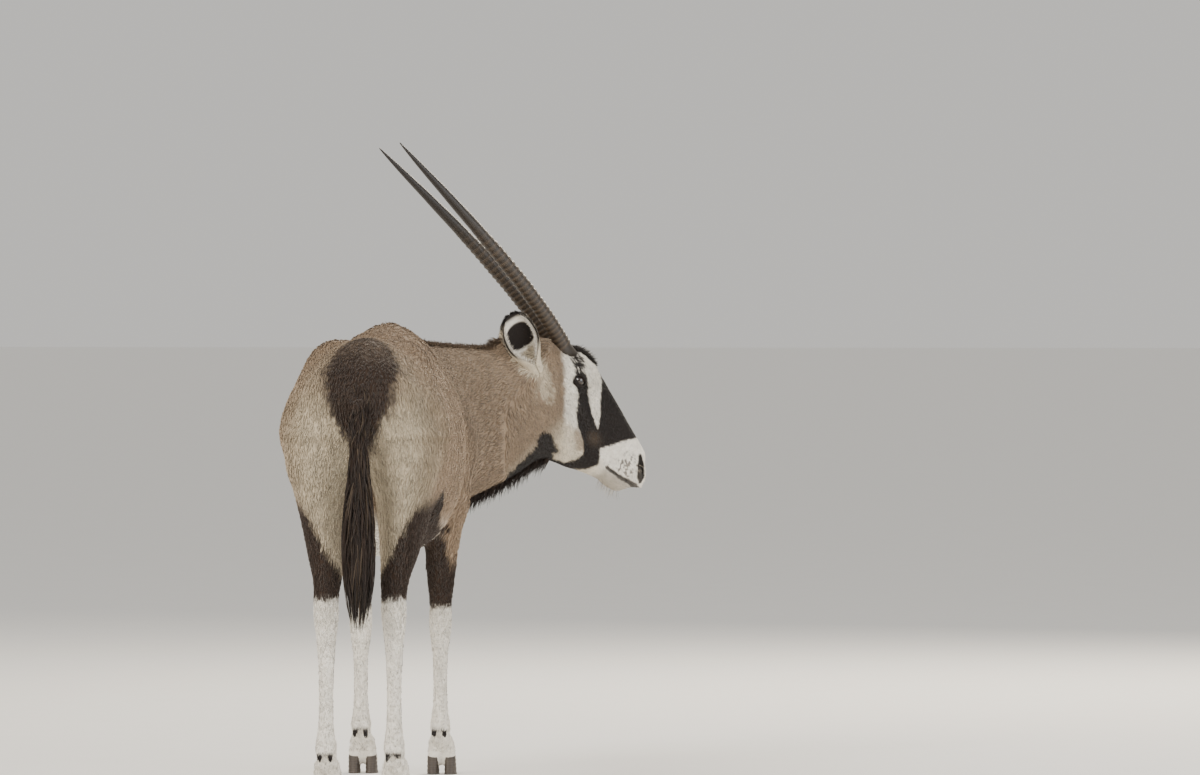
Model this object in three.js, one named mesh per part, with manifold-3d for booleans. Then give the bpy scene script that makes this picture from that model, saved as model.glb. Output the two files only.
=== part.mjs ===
// A life-size gemsbok standing and looking over its right side.
// Millimetres. +Y is the way the trunk faces, +X its right side, +Z up, hooves on z = 0.
import * as THREE from 'three';
import { mergeVertices } from 'three/addons/utils/BufferGeometryUtils.js';
import Module from 'manifold-3d';

const wasm = await Module();
wasm.setup();

// Driving dimensions
const touchGap = 0.3;
const sliver = 0.02;
const blendWidth = { trunk: 55, neck: 90, head: 26, leg: 45, foot: 14 };

// Trunk sections from rump to chest: y, top, bottom, half width, height of the widest line
const trunkRows = [
  [-22, 1008, 935, 38, 975],
  [30, 1070, 880, 100, 965],
  [120, 1116, 850, 146, 960],
  [230, 1138, 795, 170, 940],
  [340, 1132, 735, 184, 920],
  [480, 1112, 648, 193, 885],
  [560, 1103, 610, 196, 870],
  [650, 1097, 588, 198, 860],
  [820, 1098, 574, 199, 850],
  [960, 1118, 573, 190, 840],
  [1080, 1146, 582, 168, 830],
  [1170, 1152, 602, 146, 825],
  [1260, 1112, 645, 124, 830],
  [1340, 1030, 705, 96, 850],
  [1400, 930, 790, 48, 860],
];

// Neck: a plan curve that swings to the right, and its sections
// (share of the curve, top, bottom, half width, height of the widest line)
const neckPlan = { start: [0, 1180], bend: [60, 1464], end: [344, 1590] };
const neckRows = [
  [0, 1138, 625, 128, 850],
  [0.25, 1114, 650, 110, 860],
  [0.5, 1102, 690, 95, 880],
  [0.75, 1097, 735, 82, 905],
  [0.9, 1097, 778, 76, 930],
  [1, 1101, 822, 72, 960],
];

// Head: turned right of straight ahead, its long axis pitched down from level
const headPlace = [408, 1623];
const headTurn = THREE.MathUtils.degToRad(63);
const headPitch = THREE.MathUtils.degToRad(45.6);
const headBack = [-70, 1020];
// Head sections: place on the long axis, top, bottom, half width, widest line
const headRows = [
  [-120, 10, -90, 48, -25],
  [-75, 64, -110, 56, 0],
  [-30, 94, -132, 62, 20],
  [15, 115, -145, 66, 35],
  [60, 119, -150, 66, 40],
  [105, 107, -151, 60, 35],
  [150, 97, -146, 53, 25],
  [200, 87, -130, 46, 15],
  [245, 75, -104, 41, 5],
  [285, 65, -82, 38, -2],
  [320, 56, -70, 38, -8],
  [350, 41, -58, 38, -12],
  [370, 24, -40, 33, -10],
  [384, 3, -24, 20, -10],
];

// Horns: root beside the midline, tips as ahead, side and height, and radius by share of the length
const horn = { side: 33, back: -33, height: 1095, right: [-504, 60, 1630], left: [-513, -60, 1617] };
const hornRows = [[0, 22.5], [0.07, 20.3], [0.29, 19.4], [0.51, 16.6], [0.715, 12.3], [0.887, 7.2], [0.95, 4.4], [1, 1.6]];
const hornShape = { bow: 22, bowShare: 0.35, sunk: 34, ringedShare: 0.58, ringCount: 19 };
const eye = { along: 53, up: 41, side: 64, radius: 18.5 };
const lid = { clear: 0.8, wall: 3, socket: 2.6, openWide: 0.66, openHigh: 0.43, edge: 1.36 };
const ear = { side: 52, length: 172, wall: 4.5, bow: 12 };
// The right ear is swung to the rear, the left one stands out to its own side;
// reach is ahead, out and up from the root, and opening the way that the cup faces, out and ahead
const earPose = {
  right: { ahead: -128, height: 1052, reach: [-92, 48, 138], opening: [0.96, -0.12] },
  left: { ahead: -118, height: 1048, reach: [12, 96, 136], opening: [0.8, 0.6] },
};

// Right legs, from the pastern up: height, back, front, half width, distance from the midline
const hindLeg = {
  foot: [83, 94],
  rows: [
    [88, 84, 146, 24, 83],
    [112, 72, 128, 26, 83],
    [135, 66, 118, 28, 83],
    [165, 66, 112, 23, 83],
    [210, 68, 109, 19.5, 83],
    [300, 68, 110, 20, 83],
    [380, 64, 113, 24, 83],
    [425, 54, 117, 29, 83],
    [460, 42, 121, 32, 83],
    [490, 34, 124, 32, 83],
    [515, 36, 142, 33, 83],
    [550, 46, 185, 37, 84],
    [600, 52, 265, 47, 89],
    [650, 46, 350, 56, 93],
    [700, 34, 415, 66, 96],
    [760, 22, 440, 78, 99],
    [830, 14, 420, 90, 100],
    [900, 10, 380, 96, 98],
  ],
  line: [[100, 215, 940], [100, 225, 850], [97, 215, 740], [90, 165, 640], [84, 110, 550], [83, 82, 470],
    [83, 88, 380], [83, 90, 250], [83, 92, 130], [83, 124, 78], [83, 138, 30]],
};
const foreLeg = {
  foot: [104, 1176],
  rows: [
    [88, 1166, 1226, 24, 104],
    [112, 1156, 1208, 26, 104],
    [135, 1150, 1200, 27, 104],
    [165, 1152, 1196, 22, 104],
    [220, 1154, 1196, 19, 104],
    [310, 1152, 1199, 21, 104],
    [345, 1150, 1206, 26, 104],
    [385, 1152, 1214, 30, 104],
    [415, 1150, 1212, 30, 104],
    [450, 1144, 1210, 30, 105],
    [510, 1132, 1218, 37, 106],
    [570, 1114, 1228, 43, 108],
    [630, 1096, 1242, 50, 112],
    [690, 1084, 1268, 58, 112],
    [750, 1080, 1300, 60, 108],
    [820, 1090, 1330, 56, 100],
  ],
  line: [[108, 1180, 780], [110, 1176, 700], [108, 1172, 600], [105, 1176, 480], [104, 1182, 390],
    [104, 1175, 250], [104, 1176, 130], [104, 1206, 78], [104, 1220, 30]],
};
const stance = { foreRight: 0, foreLeft: 42, hindRight: 0, hindLeft: -34 };
const stanceTop = 720;
const coronet = { toe: 60, heel: 40, reach: 50 };
const claw = { length: 92, width: 37, spread: 20, heel: 14 };

const tail = { rootY: -6, rootZ: 1035, dockEnd: 838, middle: -42 };

// Locks of hair: share of the neck from and to, how many, length, width, thickness, depth of the root
const mane = { from: 0.09, to: 0.93, count: 17, length: 24, wide: 44, thick: 11, sunk: 6, stagger: 4 };
const fringe = { from: 0.56, to: 0.97, count: 9, length: 46, wide: 46, thick: 12, sunk: 7, stagger: 5 };
// Tiers of the tail's long locks: height of the roots, of the tips, how many, how far they swing out
const switchLock = { wide: 36, thick: 17, root: 7 };
const switchTiers = [
  { rootZ: 806, tipZ: 575, count: 5, swing: 50, tip: 15 },
  { rootZ: 742, tipZ: 470, count: 5, swing: 63, tip: 13 },
  { rootZ: 662, tipZ: 392, count: 3, swing: 38, tip: 5 },
];

const colours = {
  coat: 0xa08a70,
  dark: 0x2b211b,
  white: 0xe9e4da,
  horn: 0x3a312a,
  eye: 0x120d0a,
  hoof: 0x2a2521,
};

// Small helpers
const clamp = (value, low, high) => Math.min(Math.max(value, low), high);
const mix = (a, b, t) => a + (b - a) * t;
const vector = (x, y, z) => new THREE.Vector3(x, y, z);

// Smooth union of two distances
function blend(a, b, width) {
  const near = Math.max(width - Math.abs(a - b), 0) / width;
  return Math.min(a, b) - near * near * width * 0.25;
}

// One row of a table at a place along it, with smooth steps between the rows
function rowAt(rows, place) {
  const last = rows.length - 1;
  const at = clamp(place, rows[0][0], rows[last][0]);
  let i = 0;
  while (i < last - 1 && rows[i + 1][0] < at) i += 1;
  const before = rows[Math.max(i - 1, 0)];
  const from = rows[i];
  const to = rows[i + 1];
  const after = rows[Math.min(i + 2, last)];
  const span = to[0] - from[0];
  const t = (at - from[0]) / span;
  return from.map((value, c) => {
    const slopeFrom = ((to[c] - before[c]) / (to[0] - before[0])) * span;
    const slopeTo = ((after[c] - value) / (after[0] - from[0])) * span;
    const t2 = t * t;
    const t3 = t2 * t;
    return (2 * t3 - 3 * t2 + 1) * value + (t3 - 2 * t2 + t) * slopeFrom
      + (3 * t2 - 2 * t3) * to[c] + (t3 - t2) * slopeTo;
  });
}

// Distance to an egg-shaped section, in its own plane
function sectionDistance([, top, bottom, half, widest], up, side) {
  const rise = up > widest ? top - widest : widest - bottom;
  const reach = Math.hypot(side, up - widest) + 1e-6;
  const ratio = Math.hypot(side / half, (up - widest) / rise) + 1e-6;
  return reach - reach / ratio;
}

// A section's distance, rounded off where the place lies past the end of the table
function pastEnd(radial, past) {
  return past > 0 ? Math.hypot(Math.max(radial, 0), past) + Math.min(radial, 0) : radial;
}

// Distance to the shape that a table of sections gives
function eggDistance(rows, along, up, side) {
  const section = rowAt(rows, along);
  return pastEnd(sectionDistance(section, up, side), Math.abs(along - section[0]));
}

// Distance to a tapered rod with round ends, flattened sideways by thin
function rodDistance(p, rod) {
  const [ax, ay, az] = rod.from;
  const [bx, by, bz] = rod.to;
  const dx = bx - ax;
  const dy = by - ay;
  const dz = bz - az;
  const long = dx * dx + dy * dy + dz * dz;
  const t = long > 0 ? clamp(((p[0] - ax) * dx + (p[1] - ay) * dy + (p[2] - az) * dz) / long, 0, 1) : 0;
  const thin = rod.thin ?? 1;
  const side = (p[0] - ax - t * dx) / thin;
  const gap = Math.hypot(side, p[1] - ay - t * dy, p[2] - az - t * dz) - mix(rod.radii[0], rod.radii[1], t);
  return gap * Math.min(thin, 1);
}

const rod = (from, to, radii, thin = 1) => ({ from, to, radii, thin });
const mirrored = (list) => list.flatMap((item) => {
  const flip = ([x, y, z]) => [-x, y, z];
  return [item, { ...item, from: flip(item.from), to: flip(item.to) }];
});
const joined = (p, rods, width, start) =>
  rods.reduce((sum, item) => blend(sum, rodDistance(p, item), width), start);

// Muscles and bones that shape the trunk
const trunkRods = mirrored([
  rod([96, 300, 1035], [108, 205, 930], [66, 92]),
  rod([102, 240, 900], [110, 350, 790], [96, 80]),
  rod([74, 75, 985], [98, 104, 830], [62, 80]),
  rod([108, 352, 1078], [90, 300, 1085], [30, 34]),
  rod([118, 400, 790], [122, 540, 715], [50, 28]),
  rod([66, 1110, 1070], [112, 1270, 840], [56, 62], 0.8),
  rod([112, 1280, 820], [112, 1180, 715], [60, 52]),
  rod([96, 1115, 880], [110, 1140, 725], [76, 52]),
  rod([40, 1320, 810], [34, 1230, 675], [76, 46]),
]);

// The withers and the crest of the neck lie a little left of the line of the spine
const withers = { aside: 30, low: 950, high: 1140, from: 900, full: 1100, fade: 1240, to: 1420 };
const eased = (low, high, value) => {
  const t = clamp((value - low) / (high - low), 0, 1);
  return t * t * (3 - 2 * t);
};
function leaned(p) {
  const { aside, low, high, from, full, fade, to } = withers;
  const share = eased(low, high, p[2]) * eased(from, full, p[1]) * (1 - eased(fade, to, p[1]));
  return [p[0] + aside * share, p[1], p[2]];
}

const trunkField = (place) => {
  const p = leaned(place);
  return joined(p, trunkRods, blendWidth.trunk, eggDistance(trunkRows, p[1], p[2], p[0]));
};

// Plan curve of the neck and the nearest place on it
function planPoint(t) {
  const { start, bend, end } = neckPlan;
  const at = (i) => (1 - t) ** 2 * start[i] + 2 * t * (1 - t) * bend[i] + t * t * end[i];
  return [at(0), at(1)];
}

function planHeading(t) {
  const { start, bend, end } = neckPlan;
  const at = (i) => (1 - t) * (bend[i] - start[i]) + t * (end[i] - bend[i]);
  const long = Math.hypot(at(0), at(1));
  return [at(0) / long, at(1) / long];
}

function neckPlace(x, y) {
  const steps = 24;
  let best = 0;
  let bestGap = Infinity;
  for (let i = 0; i <= steps; i += 1) {
    const [px, py] = planPoint(i / steps);
    const gap = Math.hypot(x - px, y - py);
    if (gap < bestGap) {
      bestGap = gap;
      best = i / steps;
    }
  }
  for (let round = 0; round < 4; round += 1) {
    const [px, py] = planPoint(best);
    const [hx, hy] = planHeading(best);
    best = clamp(best + ((x - px) * hx + (y - py) * hy) / 600, 0, 1);
  }
  return best;
}

function neckField(place) {
  const p = leaned(place);
  const t = neckPlace(p[0], p[1]);
  const [px, py] = planPoint(t);
  const [hx, hy] = planHeading(t);
  const side = (p[0] - px) * hy - (p[1] - py) * hx;
  const past = (p[0] - px) * hx + (p[1] - py) * hy;
  return pastEnd(sectionDistance(rowAt(neckRows, t), p[2], side), Math.abs(past) > 1 ? Math.abs(past) : 0);
}

// The head's own frame: along the long axis, up (towards the face line), side (its right)
const headAhead = [Math.sin(headTurn), Math.cos(headTurn)];
const headRight = [Math.cos(headTurn), -Math.sin(headTurn)];

function headPoint(along, up, side) {
  const u = headBack[0] + along * Math.cos(headPitch) + up * Math.sin(headPitch);
  const z = headBack[1] - along * Math.sin(headPitch) + up * Math.cos(headPitch);
  return levelPoint(u, side, z);
}

function levelPoint(u, side, z) {
  return [
    headPlace[0] + u * headAhead[0] + side * headRight[0],
    headPlace[1] + u * headAhead[1] + side * headRight[1],
    z,
  ];
}

function headLocal(p) {
  const x = p[0] - headPlace[0];
  const y = p[1] - headPlace[1];
  const u = x * headAhead[0] + y * headAhead[1] - headBack[0];
  const z = p[2] - headBack[1];
  const side = x * headRight[0] + y * headRight[1];
  return [
    side,
    u * Math.cos(headPitch) - z * Math.sin(headPitch),
    u * Math.sin(headPitch) + z * Math.cos(headPitch),
  ];
}

// Bones and muscles of the head as [side, along, up]
const headRods = mirrored([
  rod([50, 53, 42], [50, 53, 42], [29, 29]),
  rod([42, 30, 74], [40, 84, 66], [21, 19]),
  rod([34, 60, -58], [28, 150, -52], [36, 27]),
  rod([56, 70, 8], [33, 200, -6], [15, 11]),
  rod([24, 55, -112], [16, 300, -56], [28, 16]),
  rod([18, 345, 4], [14, 366, 0], [24, 19]),
  rod([8, 326, -50], [6, 340, -49], [19, 16]),
  rod([10, 70, 92], [8, 330, 42], [18, 14]),
  rod([42, -96, 20], [50, -70, 40], [22, 20]),
]);
// The dark tuft on the forehead
const forelock = rod([0, 8, 106], [0, 40, 111], [17, 12]);

function headField(p) {
  const local = headLocal(p);
  const core = eggDistance(headRows, local[1], local[2], local[0]);
  return joined(local, [...headRods, forelock], blendWidth.head, core);
}

const upperField = (p) => blend(neckField(p), headField(p), blendWidth.head * 2);

// Toes and dewclaws of one right foot whose fetlock stands at [x, y]
function footRods(x, y) {
  const toes = [-1, 1].map((s) => rod([x + s * 14, y + 30, 84], [x + s * claw.spread, y + 47, 34], [19, 21]));
  const dews = [-1, 1].map((s) => rod([x + s * 13, y - 24, 122], [x + s * 14, y - 31, 104], [10, 8]));
  return [...toes, ...dews];
}

// How far a leg leans forward at a height, from nothing at the top of the stance
const leanAt = (step, z) => (step * Math.max(stanceTop - z, 0)) / stanceTop;

function legField({ rows, foot }, sign, step) {
  const rods = footRods(...foot);
  return (p) => {
    const local = [sign * p[0], p[1] - leanAt(step, p[2]), p[2]];
    const [at, back, front, half, middle] = rowAt(rows, p[2]);
    const section = [at, front, back, half, (front + back) / 2];
    const shank = pastEnd(sectionDistance(section, local[1], local[0] - middle), Math.abs(p[2] - at));
    return joined(local, rods, blendWidth.foot, shank);
  };
}

const legFields = {
  foreleg_right: legField(foreLeg, 1, stance.foreRight),
  foreleg_left: legField(foreLeg, -1, stance.foreLeft),
  hindleg_right: legField(hindLeg, 1, stance.hindRight),
  hindleg_left: legField(hindLeg, -1, stance.hindLeft),
};

// The whole body but the head; legs only count near enough to matter
function bodyField(p) {
  const upper = blend(trunkField(p), neckField(p), blendWidth.neck);
  if (p[2] > 1000 || p[1] > 1450) return upper;
  return Object.values(legFields).reduce((sum, field) => blend(sum, field(p), blendWidth.leg), upper);
}

// How far a ray runs from a centre before it leaves the field's level
function castRay(field, centre, direction, reach, level) {
  const at = (s) => field([
    centre[0] + direction[0] * s, centre[1] + direction[1] * s, centre[2] + direction[2] * s,
  ]) - level;
  let inside = 0;
  let outside = reach;
  for (let s = 0; s < reach;) {
    const gap = at(s);
    if (gap > 0) {
      outside = s;
      break;
    }
    inside = s;
    s += Math.max(-gap * 0.5, 1.2);
  }
  if (outside >= reach) return reach;
  for (let i = 0; i < 16; i += 1) {
    const middle = (inside + outside) / 2;
    if (at(middle) > 0) outside = middle;
    else inside = middle;
  }
  return Math.max((inside + outside) / 2, 0.8);
}

// Closed skin over rings of points, each ring going the same way round, with a point at each end
function skinOf(rings, firstEnd, lastEnd) {
  const sides = rings[0].length;
  const points = [firstEnd, ...rings.flat(), lastEnd];
  const index = [];
  for (let k = 0; k < sides; k += 1) {
    const next = (k + 1) % sides;
    index.push(0, 1 + next, 1 + k);
    for (let i = 0; i + 1 < rings.length; i += 1) {
      const a = 1 + i * sides;
      const b = a + sides;
      index.push(a + k, a + next, b + next, a + k, b + next, b + k);
    }
    const end = 1 + (rings.length - 1) * sides;
    index.push(points.length - 1, end + k, end + next);
  }
  const geometry = new THREE.BufferGeometry();
  geometry.setAttribute('position', new THREE.Float32BufferAttribute(points.flat(), 3));
  geometry.setIndex(index);
  return geometry;
}

// Rings cast from the stations of a centre line; a station has centre, right and up directions
function castSkin(field, stations, sides, reach, level = 0) {
  const rings = stations.map(({ centre, right, up }) => Array.from({ length: sides }, (_, k) => {
    const angle = (k / sides) * Math.PI * 2;
    const direction = [0, 1, 2].map((i) => right[i] * Math.cos(angle) + up[i] * Math.sin(angle));
    const far = castRay(field, centre, direction, reach, level);
    return [0, 1, 2].map((i) => centre[i] + direction[i] * far);
  }));
  return skinOf(rings, stations[0].centre, stations[stations.length - 1].centre);
}

// A closed solid of a three.js geometry, turned right way out
function solidOf(geometry) {
  const bare = geometry.clone();
  bare.deleteAttribute('normal');
  bare.deleteAttribute('uv');
  const merged = mergeVertices(bare, 1e-4);
  const vertProperties = new Float32Array(merged.attributes.position.array);
  const triVerts = new Uint32Array(merged.index.array);
  let volume = 0;
  for (let i = 0; i < triVerts.length; i += 3) {
    const [a, b, c] = [0, 1, 2].map((j) => vector(0, 0, 0).fromArray(vertProperties, triVerts[i + j] * 3));
    volume += a.dot(b.cross(c));
  }
  if (volume < 0) {
    for (let i = 0; i < triVerts.length; i += 3) {
      [triVerts[i], triVerts[i + 1]] = [triVerts[i + 1], triVerts[i]];
    }
  }
  return new wasm.Manifold(new wasm.Mesh({ numProp: 3, vertProperties, triVerts }));
}

const union = (solids) => solids.reduce((sum, next) => sum.add(next));

// Repeatable random numbers from 0 to 1
function seeded(seed) {
  let state = seed;
  return () => {
    state = (state * 1664525 + 1013904223) % 4294967296;
    return state / 4294967296;
  };
}

// A flat tapered lock of hair along a bent path of three points; facing is the way its broad side looks
function lockSolid(path, facing, wide, thick) {
  const curve = new THREE.QuadraticBezierCurve3(...path);
  const sections = [[0, 0.72], [0.4, 1], [0.78, 0.6]];
  const corners = [[1, 0], [0, 1], [-1, 0], [0, -1]];
  const rings = sections.map(([t, share]) => {
    const along = curve.getTangent(t);
    const over = facing.clone().addScaledVector(along, -facing.dot(along)).normalize();
    const across = along.clone().cross(over);
    return corners.map(([a, o]) => curve.getPoint(t)
      .addScaledVector(across, (a * share * wide) / 2)
      .addScaledVector(over, (o * share * thick) / 2).toArray());
  });
  return solidOf(skinOf(rings, path[0].toArray(), path[2].toArray()));
}

// A half space as a large block whose near face passes a point by the reach given
function halfSpace(point, normal, reach = 0) {
  const size = 4000;
  const block = new THREE.BoxGeometry(size, size, size);
  block.translate(0, 0, size / 2 - reach);
  const turn = new THREE.Quaternion().setFromUnitVectors(vector(0, 0, 1), vector(...normal).normalize());
  block.applyQuaternion(turn);
  block.translate(...point);
  return solidOf(block);
}

// The largest closed surface of a solid, as a geometry with its slivers closed up
function largestOf(solid) {
  const parts = solid.asOriginal().simplify(sliver).decompose();
  const best = parts.reduce((a, b) => (b.volume() > a.volume() ? b : a));
  const mesh = best.getMesh();
  const geometry = new THREE.BufferGeometry();
  const points = new Float32Array((mesh.vertProperties.length / mesh.numProp) * 3);
  for (let i = 0; i * 3 < points.length; i += 1) {
    for (let j = 0; j < 3; j += 1) points[i * 3 + j] = mesh.vertProperties[i * mesh.numProp + j];
  }
  geometry.setAttribute('position', new THREE.BufferAttribute(points, 3));
  geometry.setIndex(new THREE.BufferAttribute(new Uint32Array(mesh.triVerts), 1));
  return geometry;
}

// Torso
const spaced = (from, to, count) => Array.from({ length: count }, (_, i) => mix(from, to, i / (count - 1)));

function torsoStations() {
  const ys = [-20, -8, 8, 28, ...spaced(55, 1330, 30), 1365, 1392];
  return ys.map((y) => {
    const [, top, bottom] = rowAt(trunkRows, y);
    return { centre: [0, y, mix(bottom, top, 0.55)], right: [1, 0, 0], up: [0, 0, 1] };
  });
}

const neckCut = { point: [30, 1320, 900], normal: [0.2, 0.87, 0.45] };

// Planes that part the legs from the trunk: behind and below the flank, and up from the breastbone
const legCuts = {
  hindleg: () => ({ point: [0, 0, 922], normal: [0, -0.5, -1] }),
  foreleg: (sign) => ({ point: [0, 1150, 575], normal: [sign * 0.62, 0.3, -1] }),
};

function torsoSolid(level) {
  const cuts = [neckCut, legCuts.hindleg(), legCuts.foreleg(1), legCuts.foreleg(-1)];
  return cuts.reduce(
    (solid, { point, normal }) => solid.subtract(halfSpace(point, normal, touchGap / 2 - level)),
    solidOf(castSkin(bodyField, torsoStations(), 36, 460, level)),
  );
}

// Neck
function neckStations() {
  return spaced(-0.1, 1.12, 17).map((t) => {
    const [x, y] = planPoint(t);
    const [hx, hy] = planHeading(clamp(t, 0, 1));
    const [, top, bottom] = rowAt(neckRows, t);
    return { centre: [x, y, (top + bottom) / 2], right: [hy, -hx, 0], up: [0, 0, 1] };
  });
}

const headCut = {
  point: levelPoint(-122, 0, 1090),
  normal: [headAhead[0] * 0.977, headAhead[1] * 0.977, 0.212],
};
const backwards = (normal) => normal.map((value) => -value);
const neckBody = (p) => blend(bodyField(p), headField(p), blendWidth.head * 2);

// Short locks along the top (up is 1) or the underside (up is -1) of the neck, that lean back to the trunk
function neckLocks({ from, to, count, length, wide, thick, sunk, stagger }, up, seed) {
  const random = seeded(seed);
  return spaced(from, to, count).map((t, i) => {
    const [hx, hy] = planHeading(t);
    const [px, py] = planPoint(t);
    const aside = (i % 2 ? 1 : -1) * stagger;
    const [, top, bottom] = rowAt(neckRows, t);
    const start = [px + hy * aside, py - hx * aside, (top + bottom) / 2];
    const root = vector(...start);
    root.z += up * (castRay(neckBody, start, [0, 0, up], 420, 0) - sunk);
    const long = length * mix(0.85, 1.15, random());
    const lean = (back, rise, out) => root.clone()
      .add(vector(-hx * back + hy * out, -hy * back - hx * out, up * rise).multiplyScalar(long));
    return lockSolid([root, lean(0.12, 0.72, 0), lean(0.72, 0.92, aside * 0.02)], vector(hy, -hx, 0), wide, thick);
  });
}

function neckSolid(level, locks = []) {
  return union([solidOf(castSkin(neckBody, neckStations(), 34, 420, level)), ...locks])
    .subtract(halfSpace(neckCut.point, backwards(neckCut.normal), touchGap / 2 - level))
    .subtract(halfSpace(headCut.point, headCut.normal, touchGap / 2 - level));
}

// Head
const headDirection = (along, up, side) => {
  const from = headPoint(0, 0, 0);
  return headPoint(along, up, side).map((value, i) => value - from[i]);
};

function headStations() {
  const places = [...spaced(-170, 290, 24), 305, 320, 333, 345, 355, 364, 372, 379, 383];
  return places.map((along) => {
    const [, top, bottom] = rowAt(headRows, along);
    const middle = along < -60 ? -20 : mix(bottom, top, 0.5);
    return {
      centre: headPoint(along, middle, 0),
      right: headDirection(0, 0, 1),
      up: headDirection(0, 1, 0),
    };
  });
}

function headCore(level, sides = 32) {
  return solidOf(castSkin(upperField, headStations(), sides, 230, level))
    .subtract(halfSpace(headCut.point, backwards(headCut.normal), touchGap / 2 - level));
}

// Turns a shape drawn in the head's own frame (x side, y along, z up) into place
function intoHead(geometry) {
  const position = geometry.attributes.position;
  for (let i = 0; i < position.count; i += 1) {
    position.setXYZ(i, ...headPoint(position.getY(i), position.getZ(i), position.getX(i)));
  }
  return geometry;
}

// Closed ring of lids over the ball, leaving an almond opening
function lidRing(sign) {
  const around = 22;
  const inner = eye.radius + lid.clear;
  const outer = inner + lid.wall;
  const spot = (turn, tilt, radius) => {
    const out = radius * Math.cos(tilt);
    const flat = radius * Math.sin(tilt);
    const along = flat * Math.cos(turn);
    const up = flat * Math.sin(turn);
    return headPoint(eye.along + along, eye.up + up, sign * (eye.side + out));
  };
  const rings = Array.from({ length: around }, (_, k) => {
    const turn = (k / around) * Math.PI * 2;
    const edge = 1 / Math.hypot(Math.cos(turn) / lid.openWide, Math.sin(turn) / lid.openHigh);
    return [
      spot(turn, edge, inner), spot(turn, edge + 0.05, outer - 0.4),
      spot(turn, mix(edge, lid.edge, 0.45), outer), spot(turn, lid.edge, outer),
      spot(turn, lid.edge, inner), spot(turn, mix(edge, lid.edge, 0.5), inner),
    ];
  });
  return solidOf(hoopOf(rings));
}

// Closed skin over rings set round in a hoop, so that the last joins the first
function hoopOf(rings) {
  const sides = rings[0].length;
  const index = [];
  rings.forEach((_, i) => {
    const a = i * sides;
    const b = ((i + 1) % rings.length) * sides;
    for (let k = 0; k < sides; k += 1) {
      const next = (k + 1) % sides;
      index.push(a + k, a + next, b + next, a + k, b + next, b + k);
    }
  });
  const geometry = new THREE.BufferGeometry();
  geometry.setAttribute('position', new THREE.Float32BufferAttribute(rings.flat(2), 3));
  geometry.setIndex(index);
  return geometry;
}

// The line between the lips: a thin bent blade right through, kept to a shallow groove by its core
function mouthBlade() {
  const line = [[281, -52], [300, -49], [322, -44], [345, -37], [362, -31], [392, -24]];
  const thick = 1.1;
  const shape = new THREE.Shape();
  line.forEach(([along, up], i) => (i ? shape.lineTo(along, up + thick) : shape.moveTo(along, up)));
  [...line].reverse().slice(0, -1).forEach(([along, up]) => shape.lineTo(along, up - thick));
  const wide = 160;
  const blade = new THREE.ExtrudeGeometry(shape, { depth: wide, bevelEnabled: false });
  const position = blade.attributes.position;
  for (let i = 0; i < position.count; i += 1) {
    const [along, up, deep] = [position.getX(i), position.getY(i), position.getZ(i)];
    position.setXYZ(i, ...headPoint(along, up, deep - wide / 2));
  }
  return solidOf(blade);
}

// A slanting comma-shaped pocket on each side of the nose
function nostril(sign) {
  const pocket = new THREE.SphereGeometry(1, 12, 8);
  pocket.scale(11, 22, 5.5);
  pocket.rotateX(-0.62);
  pocket.rotateZ(sign * 0.42);
  pocket.translate(sign * 27, 351, 21);
  return solidOf(intoHead(pocket));
}

function eyeball(sign, radius, detail) {
  const ball = new THREE.SphereGeometry(radius, detail, Math.round(detail * 0.7));
  ball.rotateZ((sign * Math.PI) / 2);
  ball.translate(sign * eye.side, eye.along, eye.up);
  return solidOf(intoHead(ball));
}

function headSolid() {
  const lipDepth = 6;
  const groove = mouthBlade().subtract(headCore(-lipDepth, 14));
  return [-1, 1].reduce((solid, sign) => solid
    .subtract(eyeball(sign, eye.radius + lid.socket, 12))
    .add(lidRing(sign))
    .subtract(nostril(sign)), headCore(0)).subtract(groove);
}

// Horns: long, almost straight, ringed over the lower part
function hornSolid(sign) {
  const from = vector(...levelPoint(horn.back, sign * horn.side, horn.height));
  const to = vector(...levelPoint(...(sign > 0 ? horn.right : horn.left)));
  const axis = to.clone().sub(from);
  const length = axis.length();
  axis.normalize();
  const sideways = vector(headRight[0], headRight[1], 0);
  const rear = sideways.clone().cross(axis).normalize();
  const right = axis.clone().cross(rear).normalize();
  const places = [-hornShape.sunk];
  const ringEnd = length * hornShape.ringedShare;
  let place = 0;
  for (let i = 0; i < hornShape.ringCount; i += 1) {
    const step = (ringEnd / hornShape.ringCount) * mix(0.72, 1.28, i / (hornShape.ringCount - 1));
    places.push(place, place + step * 0.62);
    place += step;
  }
  places.push(...spaced(place, length - 6, 10), length);
  const rings = places.map((at, i) => {
    const share = clamp(at / length, 0, 1);
    const [, plain] = rowAt(hornRows, share);
    const ringed = i > 0 && i <= hornShape.ringCount * 2;
    const fade = 1 - clamp((at / ringEnd - 0.75) / 0.25, 0, 1) * 0.7;
    const swell = ringed && i % 2 === 0 ? 1.6 * fade : 0;
    const rise = (share / hornShape.bowShare) ** 0.65;
    const bow = hornShape.bow * rise * ((1 - share) / (1 - hornShape.bowShare)) ** 1.2;
    const centre = from.clone().addScaledVector(axis, at).addScaledVector(rear, -bow);
    const sides = 12;
    return Array.from({ length: sides }, (_, k) => {
      const turn = (k / sides) * Math.PI * 2;
      const wide = plain + swell;
      return centre.clone().addScaledVector(right, Math.cos(turn) * wide)
        .addScaledVector(rear, Math.sin(turn) * wide * 1.04).toArray();
    });
  });
  const first = from.clone().addScaledVector(axis, -hornShape.sunk).toArray();
  const end = from.clone().addScaledVector(axis, length + 3).toArray();
  return solidOf(skinOf(rings, first, end));
}

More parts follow.
